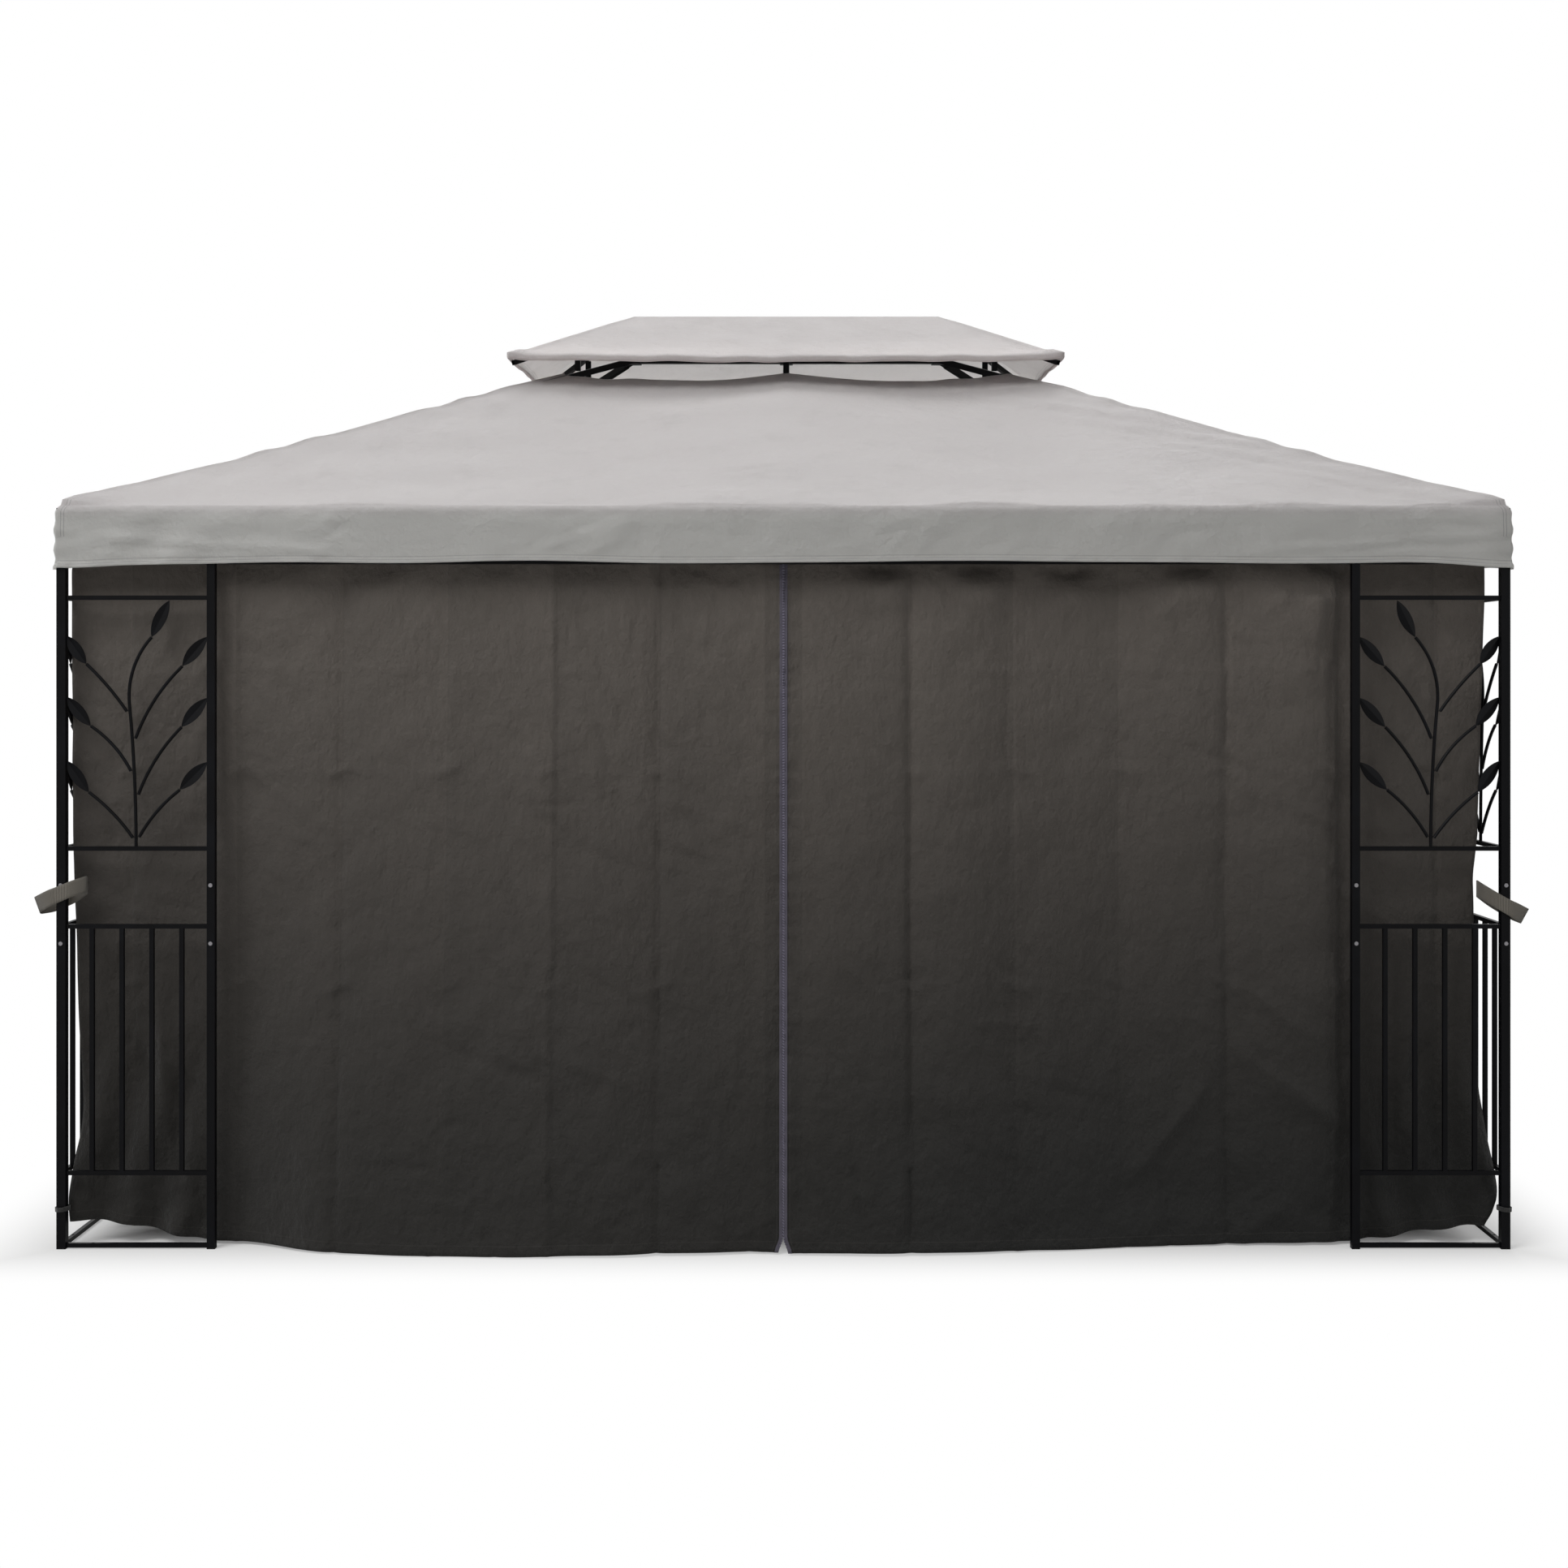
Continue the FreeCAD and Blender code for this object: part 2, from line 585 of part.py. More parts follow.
middle_eave = Vector(0, eave_corner.y, eave_corner.z)
middle_ridge = Vector(0, 0, ridge_end.z)
mid_low, mid_top = centre_line(middle_eave, middle_ridge, size["RafterSide"], rafter_hang)
beam_inset = eave_corner.y - worth(BEAM_Y)
mid_start = beam_inset + size["MiddleRafterStart"]
mid_plan = mid_low.y
mid_rafter = [on_plan(mid_low, mid_top, mid_start), on_plan(mid_low, mid_top, mid_plan - hub_gap)]
saddle_root = on_plan(mid_low, mid_top, beam_inset - size["TopChordSide"] / 4)
mid_tongue_low = on_plan(mid_low, mid_top, mid_start + size["TongueLength"])
mid_tongue_top = on_plan(mid_low, mid_top, mid_plan - hub_gap - size["TongueLength"])
couplers = []
for end, side_y in (("front", -1), ("back", 1)):
    ends = [flip(point, 1, side_y) for point in mid_rafter]
    node("mid_rafter_" + end, [sloped_tube("mid_" + end, "RafterSide", "RafterWall", *ends)])
    y = f"{side_y} * {BEAM_Y}"
    name = "coupler_" + end
    wide = "TopChordSide + 2 * SaddleWall"
    saddle_corner = ("0 - SaddleLength / 2", f"{y} - ({wide}) / 2", "PostTop - SaddleCheek")
    saddle = box(name + "_saddle", ("SaddleLength", wide, "SaddleCheek + SaddleWall"), saddle_corner)
    chord = bar(name + "_chord", 0, "TopChordSide", "SaddleLength", (
        "0 - SaddleLength / 2", y, "PostTop - TopChordSide / 2"))
    rise = saddle_root.z - size["PostTop"]
    pedestal = doc.addObject("Part::Box", name + "_pedestal")
    bind(pedestal, "Length", TONGUE_SIDE)
    bind(pedestal, "Width", "TopChordSide")
    pedestal.Height = rise
    bind(pedestal, "Placement.Base.x", f"0 - {TONGUE_SIDE} / 2")
    bind(pedestal, "Placement.Base.y", f"{y} - TopChordSide / 2")
    bind(pedestal, "Placement.Base.z", "PostTop")
    tongue_ends = [flip(point, 1, side_y) for point in (saddle_root, mid_tongue_low)]
    tongue = sloped_bar(name + "_tongue", TONGUE_SIDE, *tongue_ends)
    couplers.append(cut(name, fuse(name + "_whole", [saddle, pedestal, tongue]), chord))
node("beam_couplers", couplers)


def hub(name, centre, height, side, tongue_side, tongue_tips):
    """A block on a ridge with one tongue for each rafter or arm that it takes."""
    block = doc.addObject("Part::Box", name + "_block")
    bind(block, "Length", side)
    bind(block, "Width", side)
    bind(block, "Height", height)
    block.Placement.Base = centre - Vector(worth(side) / 2, worth(side) / 2, worth(height) / 2)
    members = [block]
    for number, (root, tip) in enumerate(tongue_tips):
        members.append(sloped_bar(f"{name}_tongue_{number}", tongue_side, root, tip))
    return fuse(name, members)


ridge_members = []
for end, side_x in (("left", -1), ("right", 1)):
    tips = [
        (flip(hip_top, side_x, 1), flip(hip_tongue_top, side_x, side_y)) for side_y in (-1, 1)
    ]
    hub_centre = flip(hip_top, side_x, 1)
    ridge_members.append(hub(f"hub_{end}", hub_centre, "HubHeight", "HubSide", TONGUE_SIDE, tips))
    first = "HubSide / 2" if side_x > 0 else "HubSide / 2 - RidgeLength / 2"
    height = str(hip_top.z)
    ridge_members.append(
        tube(f"ridge_{end}", 0, "RidgeSide", "RafterWall", "RidgeLength / 2 - HubSide", (first, "0", height))
    )
middle_hub = Vector(0, 0, hip_top.z)
tips = [(mid_top, flip(mid_tongue_top, 1, side_y)) for side_y in (-1, 1)]
ridge_members.append(hub("hub_middle", middle_hub, "HubHeight", "HubSide", TONGUE_SIDE, tips))
node("main_ridge", ridge_members)

# The crown frame stands on the rafters and carries the vent canopy.
CROWN_HUB = "(CrownArmSide + 8)"
crown_hang = hang(crown_corner, crown_end, size["CrownArmSide"], size["CrownDrop"])
arm_low, arm_top = centre_line(crown_corner, crown_end, size["CrownArmSide"], crown_hang)
crown_hub_gap = worth(CROWN_HUB)
arm_plan = math.hypot(arm_top.x - arm_low.x, arm_top.y - arm_low.y)
arm_ends = [
    on_plan(arm_low, arm_top, size["CrownArmShort"]),
    on_plan(arm_low, arm_top, arm_plan - crown_hub_gap),
]
arm_tongue = on_plan(arm_low, arm_top, arm_plan - crown_hub_gap - size["TongueLength"])
mid_arm_low, mid_arm_top = centre_line(
    Vector(0, crown_corner.y, crown_corner.z),
    Vector(0, 0, crown_end.z),
    size["CrownArmSide"],
    crown_hang,
)
mid_arm_ends = [
    on_plan(mid_arm_low, mid_arm_top, size["CrownArmShort"]),
    on_plan(mid_arm_low, mid_arm_top, mid_arm_low.y - crown_hub_gap),
]
mid_arm_tongue = on_plan(mid_arm_low, mid_arm_top, mid_arm_low.y - crown_hub_gap - size["TongueLength"])
crown_members = []
for corner, (side_x, side_y) in CORNERS.items():
    ends = [flip(point, side_x, side_y) for point in arm_ends]
    crown_members.append(sloped_tube("crown_arm_" + corner, "CrownArmSide", "RafterWall", *ends))
for end, side_y in (("front", -1), ("back", 1)):
    ends = [flip(point, 1, side_y) for point in mid_arm_ends]
    crown_members.append(sloped_tube("crown_arm_" + end, "CrownArmSide", "RafterWall", *ends))
for end, side_x in (("left", -1), ("right", 1)):
    top = flip(arm_top, side_x, 1)
    tips = [(top, flip(arm_tongue, side_x, side_y)) for side_y in (-1, 1)]
    crown_members.append(hub(f"crown_hub_{end}", top, "CrownArmSide", CROWN_HUB, CROWN_TONGUE, tips))
    half_hub = f"{CROWN_HUB} / 2"
    first = half_hub if side_x > 0 else f"{half_hub} - CrownRidgeLength / 2"
    length = f"CrownRidgeLength / 2 - {CROWN_HUB}"
    crown_members.append(
        tube(f"crown_ridge_{end}", 0, "CrownArmSide", "RafterWall", length, (first, "0", str(arm_top.z)))
    )
tips = [(mid_arm_top, flip(mid_arm_tongue, 1, side_y)) for side_y in (-1, 1)]
crown_middle = Vector(0, 0, arm_top.z)
crown_members.append(hub("crown_hub_middle", crown_middle, "CrownArmSide", CROWN_HUB, CROWN_TONGUE, tips))
node("crown_frame", crown_members)


def height_at(line, side, centre, face):
    """Height that a stub at a plan place meets on a sloped bar: its top (1) or its underside (-1).

    The stub is square on plan, so its highest or lowest corner along the bar decides.
    """
    low, top = line
    run = top - low
    plan = math.hypot(run.x, run.y)
    reach = size["StubSide"] / 2 * (abs(run.x) + abs(run.y)) / plan
    distance = ((centre.x - low.x) * run.x + (centre.y - low.y) * run.y) / plan + face * reach
    return low.z + (distance * run.z + face * side / 2 * run.Length) / plan


def stub(name, centre, rafter, arm):
    """An upright tube on a rafter that carries a crown arm."""
    low = height_at(rafter, size["RafterSide"], centre, 1) + size["Clearance"]
    high = height_at(arm, size["CrownArmSide"], centre, -1) - size["Clearance"]
    made = []
    for part, across in (("outside", "StubSide"), ("bore", "StubSide - 2 * RafterWall")):
        piece = doc.addObject("Part::Box", f"{name}_{part}")
        bind(piece, "Length", across)
        bind(piece, "Width", across)
        piece.Height = high - low
        piece.Placement.Base = Vector(centre.x - worth(across) / 2, centre.y - worth(across) / 2, low)
        made.append(piece)
    return cut(name, *made)


stubs = []
vent_y = size["VentWidth"] / 2
stub_y = vent_y - size["StubInset"]
hip_share = (eave_corner.y - stub_y) / eave_corner.y
hip_x = eave_corner.x + hip_share * (ridge_end.x - eave_corner.x)
arm_x = crown_end.x + stub_y / crown_corner.y * (crown_corner.x - crown_end.x)
hip_stub = Vector((hip_x + arm_x) / 2, stub_y, 0)
mid_stub = Vector(0, vent_y - size["MiddleStubInset"], 0)
for corner, (side_x, side_y) in CORNERS.items():
    rafter = [flip(point, side_x, side_y) for point in (hip_low, hip_top)]
    arm = [flip(point, side_x, side_y) for point in (arm_low, arm_top)]
    stubs.append(stub("stub_" + corner, flip(hip_stub, side_x, side_y), rafter, arm))
for end, side_y in (("front", -1), ("back", 1)):
    rafter = [flip(point, 1, side_y) for point in (mid_low, mid_top)]
    arm = [flip(point, 1, side_y) for point in (mid_arm_low, mid_arm_top)]
    stubs.append(stub("stub_" + end, flip(mid_stub, 1, side_y), rafter, arm))
node("vent_stubs", stubs)

# ---------------------------------------------------------------- canopies


def gore(name, corners):
    """A flat panel of cloth, as thick as the sheet says, measured straight down."""
    outline = Part.makePolygon([*corners, corners[0]])
    shape = Part.Face(outline).extrude(Vector(0, 0, -size["ClothThickness"]))
    return solid_piece(name, shape)


def four_gores(name, low, top):
    """Front, back, left and right panels between a low and a high corner of one quarter."""
    made = []
    for end, side_y in (("front", -1), ("back", 1)):
        quarter = [flip(low, -1, side_y), flip(low, 1, side_y), flip(top, 1, side_y), flip(top, -1, side_y)]
        made.append(gore(f"{name}_{end}", quarter))
    for end, side_x in (("left", -1), ("right", 1)):
        quarter = [flip(low, side_x, -1), flip(low, side_x, 1), flip(top, side_x, 1)]
        if top.y > 0:
            quarter.append(flip(top, side_x, -1))
        made.append(gore(f"{name}_{end}", quarter))
    return made


vent_share = (eave_corner.y - vent_y) / eave_corner.y
vent_corner = eave_corner + (ridge_end - eave_corner) * vent_share
main_members = four_gores("main_gore", eave_corner, vent_corner)
VALANCE_LOW = "EaveHeight - ValanceDrop"
valance_height = "ValanceDrop - ClothThickness"
for side_y in (-1, 1):
    face = "0 - CanopyWidth / 2" if side_y < 0 else "CanopyWidth / 2 - ClothThickness"
    sides = ("CanopyLength", "ClothThickness", valance_height)
    main_members.append(box(f"valance_long_{side_y + 1}", sides, ("0 - CanopyLength / 2", face, VALANCE_LOW)))
for side_x in (-1, 1):
    face = "0 - CanopyLength / 2" if side_x < 0 else "CanopyLength / 2 - ClothThickness"
    sides = ("ClothThickness", "CanopyWidth - 2 * ClothThickness", valance_height)
    corner_y = "ClothThickness - CanopyWidth / 2"
    main_members.append(box(f"valance_short_{side_x + 1}", sides, (face, corner_y, VALANCE_LOW)))
node("main_canopy", main_members)
node("vent_canopy", four_gores("vent_gore", crown_corner, crown_end))

# ---------------------------------------------------------------- curtain rails, curtains and zips

rails = []
for end, axis, side in (("front", 0, -1), ("back", 0, 1), ("left", 1, -1), ("right", 1, 1)):
    reach = f"({CORNER_X if axis == 0 else CORNER_Y} - RailRodShort)"
    line = f"{side} * {ROD_Y if axis == 0 else ROD_X}"
    face = f"({BEAM_Y if axis == 0 else BEAM_X} - TopChordSide / 2)"
    across = 1 - axis
    start = [f"0 - {reach}", f"0 - {reach}", "RailRodHeight"]
    start[across] = line
    members = [rod(f"rail_rod_{end}", axis, "RailRod", f"2 * {reach}", start)]
    for number, spot in enumerate((-1, 0, 1)):
        middle = f"{spot} * ({reach} - HangerWidth / 2) - HangerWidth / 2"
        plate_top = "PostTop - SaddleCheek - Clearance"
        plate_sides = ["HangerWidth", "HangerWidth", f"{plate_top} - RailRodHeight + RailRod / 2"]
        plate_sides[across] = "HangerSheet"
        low = [middle, middle, "RailRodHeight - RailRod / 2"]
        low[across] = f"0 - {face}" if side < 0 else f"{face} - HangerSheet"
        members.append(box(f"hanger_plate_{end}_{number}", plate_sides, low))
        arm_sides = ["HangerWidth", "HangerWidth", "RailRod"]
        arm_sides[across] = "RailRodInset"
        low = [middle, middle, "RailRodHeight - RailRod / 2"]
        low[across] = f"0 - {face}" if side < 0 else f"{face} - RailRodInset"
        members.append(box(f"hanger_arm_{end}_{number}", arm_sides, low))
    rails.append(fuse("curtain_rail_" + end, members))
node("curtain_rails", rails)


def curtain(label, axis, line, toward, reach):
    """One half: a slab of cloth from the zip towards its post, and its rings on the rail."""
    across = 1 - axis
    width = f"{reach} - CurtainMeeting / 2"
    low = ["CurtainMeeting / 2" if toward > 0 else f"0 - {reach}"] * 2 + ["CurtainLow"]
    low[across] = f"{line} - ClothThickness / 2"
    sides = [width, width, f"{CURTAIN_TOP} - CurtainLow"]
    sides[across] = "ClothThickness"
    members = [box(label + "_cloth", sides, low)]
    count = int((worth(reach) - size["RingFirst"]) // size["RingPitch"]) + 1
    for number in range(count):
        ring = doc.addObject("Part::Torus", f"{label}_ring_{number}")
        ring.Placement = Placement(Vector(), AXIS_TURN[axis])
        bind(ring, "Radius1", "RingRadius")
        bind(ring, "Radius2", "RingWire / 2")
        centre = [f"{toward} * (RingFirst + {number} * RingPitch)"] * 2 + [RING_HEIGHT]
        centre[across] = line
        for prop, text in zip("xyz", centre):
            bind(ring, "Placement.Base." + prop, text)
        members.append(ring)
    return node(label, members)


def slider(label, axis, line, outward):
    """Two plates before and behind the cloth, the neck between them, and the pull in front."""
    across = 1 - axis
    gap = "(ClothThickness / 2 + Clearance)"
    members = []
    plates = {
        "front": (f"{line} + {outward} * ({gap} + SliderPlate / 2)", "SliderPlate"),
        "back": (f"{line} - {outward} * ({gap} + SliderPlate / 2)", "SliderPlate"),
    }
    for part, (middle, thick) in plates.items():
        sides = ["SliderWidth", "SliderWidth", "SliderHeight"]
        sides[across] = thick
        low = ["0 - SliderWidth / 2"] * 2 + ["SliderLow"]
        low[across] = f"{middle} - ({thick}) / 2"
        members.append(box(f"{label}_{part}", sides, low))
    neck = "CurtainMeeting - 2 * Clearance"
    sides = [neck, neck, "SliderHeight"]
    sides[across] = f"2 * ({gap} + SliderPlate)"
    low = [f"0 - ({neck}) / 2"] * 2 + ["SliderLow"]
    low[across] = f"{line} - ({gap} + SliderPlate)"
    members.append(box(label + "_neck", sides, low))
    sides = ["PullWidth", "PullWidth", "PullLength"]
    sides[across] = "SliderPlate"
    low = ["0 - PullWidth / 2"] * 2 + ["SliderLow + SliderHeight / 2 - PullLength"]
    low[across] = f"{line} + {outward} * ({gap} + 1.5 * SliderPlate) - SliderPlate / 2"
    members.append(box(label + "_pull", sides, low))
    return node(label, [fuse(label + "_body", members)])


for end, side in (("front", -1), ("back", 1)):
    line = f"{side} * {ROD_Y}"
    for half, toward in (("left", -1), ("right", 1)):
        curtain(f"curtain_{end}_{half}", 0, line, toward, f"({CORNER_X} - LongCurtainShort)")
    slider("zip_slider_" + end, 0, line, side)
for end, side in (("left", -1), ("right", 1)):
    line = f"{side} * {ROD_X}"
    for half, toward in (("front", -1), ("back", 1)):
        curtain(f"curtain_{end}_{half}", 1, line, toward, f"({CORNER_Y} - ShortCurtainShort)")
    slider("zip_slider_" + end, 1, line, side)

straps = []
for corner, (side_x, side_y) in CORNERS.items():
    inside = f"({CORNER_X} - CornerPostSide / 2 - Clearance)"
    outside = f"({CORNER_X} + CornerPostSide / 2 + StrapReach)"
    deep = "(CornerPostSide + 2 * CanopyGap)"
    for level, height in (("upper", "UpperStrap"), ("lower", "LowerStrap")):
        name = f"strap_{level}_{corner}"
        length = f"{outside} - {inside}"
        first_x = inside if side_x > 0 else f"0 - {outside}"
        first_y = f"{side_y} * {CORNER_Y} - {deep} / 2"
        bore = box(name + "_bore", (length, deep, "StrapWidth"), (first_x, first_y, height))
        band = box(
            name + "_band",
            (f"{length} + 2 * StrapSheet", f"{deep} + 2 * StrapSheet", "StrapWidth"),
            (f"{first_x} - StrapSheet", f"{first_y} - StrapSheet", height),
        )
        straps.append(cut(name, band, bore))
node("tie_straps", straps)

# ---------------------------------------------------------------- check and write

doc.recompute()
for item in doc.Objects:
    if "Invalid" in item.State or "Error" in item.State:
        raise RuntimeError(f"{item.Label} is {item.State}")
os.makedirs("parts", exist_ok=True)
for item in nodes:
    if item.Shape.isNull() or not item.Shape.isValid() or not item.Shape.Solids:
        raise RuntimeError(f"{item.Label} has no valid shape")
for item in nodes:
    item.Shape.exportStep(f"parts/{item.Label}.step")
print(len(nodes), "sub-parts written")
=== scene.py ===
"""Looks of a garden gazebo: a fixed steel frame, two stretched canopies and eight sliding curtains."""
import json
import math

import bpy
import numpy as np
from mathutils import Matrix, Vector


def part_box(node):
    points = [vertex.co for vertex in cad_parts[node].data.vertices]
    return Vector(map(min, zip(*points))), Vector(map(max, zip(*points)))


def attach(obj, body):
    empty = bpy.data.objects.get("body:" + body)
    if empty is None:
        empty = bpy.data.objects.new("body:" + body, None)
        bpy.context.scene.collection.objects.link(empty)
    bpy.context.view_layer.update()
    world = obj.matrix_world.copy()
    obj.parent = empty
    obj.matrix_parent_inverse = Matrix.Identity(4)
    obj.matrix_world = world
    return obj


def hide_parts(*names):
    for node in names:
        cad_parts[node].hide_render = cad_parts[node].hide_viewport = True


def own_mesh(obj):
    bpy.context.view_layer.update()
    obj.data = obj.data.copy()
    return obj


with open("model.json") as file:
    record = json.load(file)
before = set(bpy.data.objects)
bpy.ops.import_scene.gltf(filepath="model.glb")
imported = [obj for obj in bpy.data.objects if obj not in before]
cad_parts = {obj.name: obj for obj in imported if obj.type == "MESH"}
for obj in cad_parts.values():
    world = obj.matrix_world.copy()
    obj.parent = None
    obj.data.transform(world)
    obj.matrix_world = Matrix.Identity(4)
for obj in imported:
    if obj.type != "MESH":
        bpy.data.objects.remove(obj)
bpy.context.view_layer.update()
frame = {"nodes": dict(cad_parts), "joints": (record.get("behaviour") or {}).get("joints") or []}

TAU = 2 * math.pi
CLOTH = 0.0011
FRAME_BODY = "frame"


# ------------------------------------------------------------------ shader arithmetic


class Signal:
    """A shader socket in a sum: each operator adds one Math node."""

    def __init__(self, finish, socket):
        self.finish = finish
        self.socket = socket

    def __add__(self, other):
        return self.finish.math("ADD", self, other)

    __radd__ = __add__

    def __mul__(self, other):
        return self.finish.math("MULTIPLY", self, other)

    __rmul__ = __mul__

    def __sub__(self, other):
        return self.finish.math("SUBTRACT", self, other)

    def __rsub__(self, other):
        return self.finish.math("SUBTRACT", other, self)

    def __truediv__(self, other):
        return self.finish.math("DIVIDE", self, other)

    def __gt__(self, other):
        return self.finish.math("GREATER_THAN", self, other)

    def __lt__(self, other):
        return self.finish.math("LESS_THAN", self, other)


class Finish:
    """A material in the making, with one Principled shader."""

    def __init__(self, name, roughness=0.5, metallic=0.0, **constants):
        self.material = bpy.data.materials.new(name)
        self.material.use_nodes = True
        self.nodes = self.material.node_tree.nodes
        self.links = self.material.node_tree.links
        self.shader = self.nodes["Principled BSDF"]
        self.shader.inputs["Roughness"].default_value = roughness
        self.shader.inputs["Metallic"].default_value = metallic
        for key, value in constants.items():
            self.shader.inputs[key.replace("_", " ")].default_value = value

    def put(self, socket, value):
        """Links a signal to a socket, or sets the socket's own value."""
        if isinstance(value, Signal):
            self.links.new(value.socket, socket)
        elif value is not None:
            socket.default_value = value

    def node(self, kind, output, settings=None, inputs=None):
        """One node: its settings first, then its sockets, and the signal that it gives."""
        made = self.nodes.new(kind)
        for key, value in (settings or {}).items():
            if key == "stops":
                ramp = made.color_ramp
                for place, stop in enumerate(value):
                    point = ramp.elements[place] if place < 2 else ramp.elements.new(stop[0])
                    point.position, point.color = stop
            else:
                setattr(made, key, value)
        for key, value in (inputs or {}).items():
            self.put(made.inputs[key], value)
        return Signal(self, made.outputs[output])

    def math(self, operation, *terms):
        return self.node("ShaderNodeMath", 0, {"operation": operation}, dict(enumerate(terms)))

    def clamp(self, value, low, high):
        """A signal spread from low to high over 0 to 1 with soft ends."""
        return self.node(
            "ShaderNodeMapRange",
            0,
            {"interpolation_type": "SMOOTHSTEP"},
            {"Value": value, "From Min": low, "From Max": high},
        )

    def place(self, output="Object"):
        """Object coordinates, or the piece's own UV map in metres."""
        return self.node("ShaderNodeTexCoord", output)

    def noise(self, vector, scale, detail=3.0, roughness=0.5, stretch=None):
        """Noise between 0 and 1, on coordinates that may be stretched."""
        if stretch:
            vector = self.node("ShaderNodeMapping", 0, None, {"Vector": vector, "Scale": stretch})
        inputs = {"Vector": vector, "Scale": scale, "Detail": detail, "Roughness": roughness}
        return self.node("ShaderNodeTexNoise", 0, None, inputs)

    def split(self, vector):
        """The three numbers of a vector."""
        made = self.nodes.new("ShaderNodeSeparateXYZ")
        self.put(made.inputs[0], vector)
        return [Signal(self, socket) for socket in made.outputs]

    def blend(self, share, first, second):
        """A colour between two colours."""
        return self.node("ShaderNodeMix", 2, {"data_type": "RGBA"}, {0: share, 6: first, 7: second})

    def colour(self, value):
        self.put(self.shader.inputs["Base Color"], value)

    def rough(self, value):
        self.put(self.shader.inputs["Roughness"], value)

    def relief(self, height, depth):
        """A bump of the given depth in metres."""
        inputs = {"Height": height, "Distance": depth, "Strength": 1.0}
        self.put(self.shader.inputs["Normal"], self.node("ShaderNodeBump", 0, None, inputs))


def linear(red, green, blue):
    """A shader colour from screen values of 0 to 255."""
    shares = [value / 255 for value in (red, green, blue)]
    bright = [s / 12.92 if s <= 0.04045 else ((s + 0.055) / 1.055) ** 2.4 for s in shares]
    return (*bright, 1.0)


def powder_coat(name, colour, worn, roughness):
    """Powder-coated steel: fine orange peel, dull handling marks and a little dust."""
    made = Finish(name, roughness, Specular_IOR_Level=0.11)
    place = made.place()
    marks = made.clamp(made.noise(place, 9, 5, 0.6), 0.45, 0.75)
    made.colour(made.blend(marks, colour, worn))
    made.rough(roughness + 0.14 * marks)
    made.relief(made.noise(place, 420, 2), 0.00025)
    return made.material


def weave(made, sheet_place, threads):
    """Crossed threads: the product of two sine waves over the sheet, per metre of cloth."""
    across, along, _ = made.split(sheet_place)
    warp = made.math("SINE", across * (TAU * threads))
    weft = made.math("SINE", along * (TAU * threads))
    return 0.5 + 0.5 * warp * weft


def stitch_line(made, distance, run, offset, pitch=0.005):
    """A dashed line of thread at an offset from an edge: 1 on a stitch and 0 elsewhere."""
    near = made.math("ABSOLUTE", distance - offset) < 0.0011
    dash = made.math("SINE", run * (TAU / pitch)) > -0.35
    return near * dash


def roof_cloth():
    """Coated polyester of the canopies. UV u is the distance to the nearest seam, v runs along it."""
    made = Finish(
        "canopy_polyester",
        0.62,
        Sheen_Weight=0.08,
        Subsurface_Weight=0.75,
        Subsurface_Scale=0.02,
        Subsurface_Radius=(1.0, 0.97, 0.94),
    )
    place = made.place()
    sheet_place = made.place("UV")
    distance, along, _ = made.split(sheet_place)
    cloud = made.noise(place, 1.6, 4, 0.55)
    streak = made.noise(place, 7, 4, 0.6, (1, 1, 0.25))
    base = made.blend(cloud, linear(219, 209, 207), linear(226, 217, 215))
    base = made.blend(made.clamp(streak, 0.5, 0.8) * 0.35, base, linear(200, 191, 188))
    # Painted light: the eave roll and valance, below 2.05 m, are blended towards a lighter cloth colour to lift
    # the shade that the lamps leave on this vertical band.
    _, _, level = made.split(place)
    base = made.blend(made.clamp(level, 2.05, 2.0) * 0.7, base, linear(232, 232, 222))
    stitches = stitch_line(made, distance, along, 0.009) + stitch_line(made, distance, along, 0.0175)
    base = made.blend(stitches * 0.55, base, linear(168, 163, 160))
    made.colour(base)
    made.rough(0.56 + 0.12 * cloud)
    crumple = made.noise(place, 11, 6, 0.55)
    threads = weave(made, place, 900)
    made.relief(crumple + threads * 0.012 - stitches * 0.04, 0.013)
    return made.material


FOLD_PITCH = 0.293


def curtain_cloth():
    """Dark woven polyester. UV u is the distance from the curtain's side edge, v the height."""
    made = Finish("curtain_polyester", 0.66, Sheen_Weight=0.1, Sheen_Roughness=0.45, Specular_IOR_Level=0.3)
    place = made.place()
    across, height, _ = made.split(made.place("UV"))
    cloud = made.noise(place, 2.2, 5, 0.6)
    fleck = made.noise(place, 60, 4, 0.7, (1, 1, 0.5))
    base = made.blend(cloud, linear(90, 84, 79), linear(102, 96, 90))
    base = made.blend(made.clamp(fleck, 0.42, 0.75) * 0.3, base, linear(114, 106, 100))
    # Painted shade: each fold panel grades darker across its width, standing in for the light that falls off
    # over the slope of the pleat.
    fold_panel_shade = made.math("FRACT", (across - 0.05) * (1 / FOLD_PITCH))
    base = made.blend(0.4 * fold_panel_shade, base, linear(80, 75, 70))
    # Painted shade: the cloth darkens towards the hem, and a little more towards the right, standing in for
    # light that falls off downwards and away from the key lamp on the left.
    world_x, _, _ = made.split(place)
    low = made.math("POWER", made.clamp(height, 1.85, 0.0), 0.7)
    share = low * (0.91 + 0.09 * made.clamp(world_x, -0.5, 0.8))
    base = made.blend(share, base, linear(16, 16, 14))
    stitches = stitch_line(made, height, across, 0.028) + stitch_line(made, across, height, 0.016)
    base = made.blend(stitches * 0.5, base, linear(60, 57, 54))
    made.colour(base)
    made.rough(0.58 + 0.16 * cloud)
    crumple = made.noise(place, 15, 7, 0.6, (1, 1, 0.7))
    threads = weave(made, made.place("UV"), 1100)
    made.relief(crumple + threads * 0.01 - stitches * 0.04, 0.026)
    return made.material


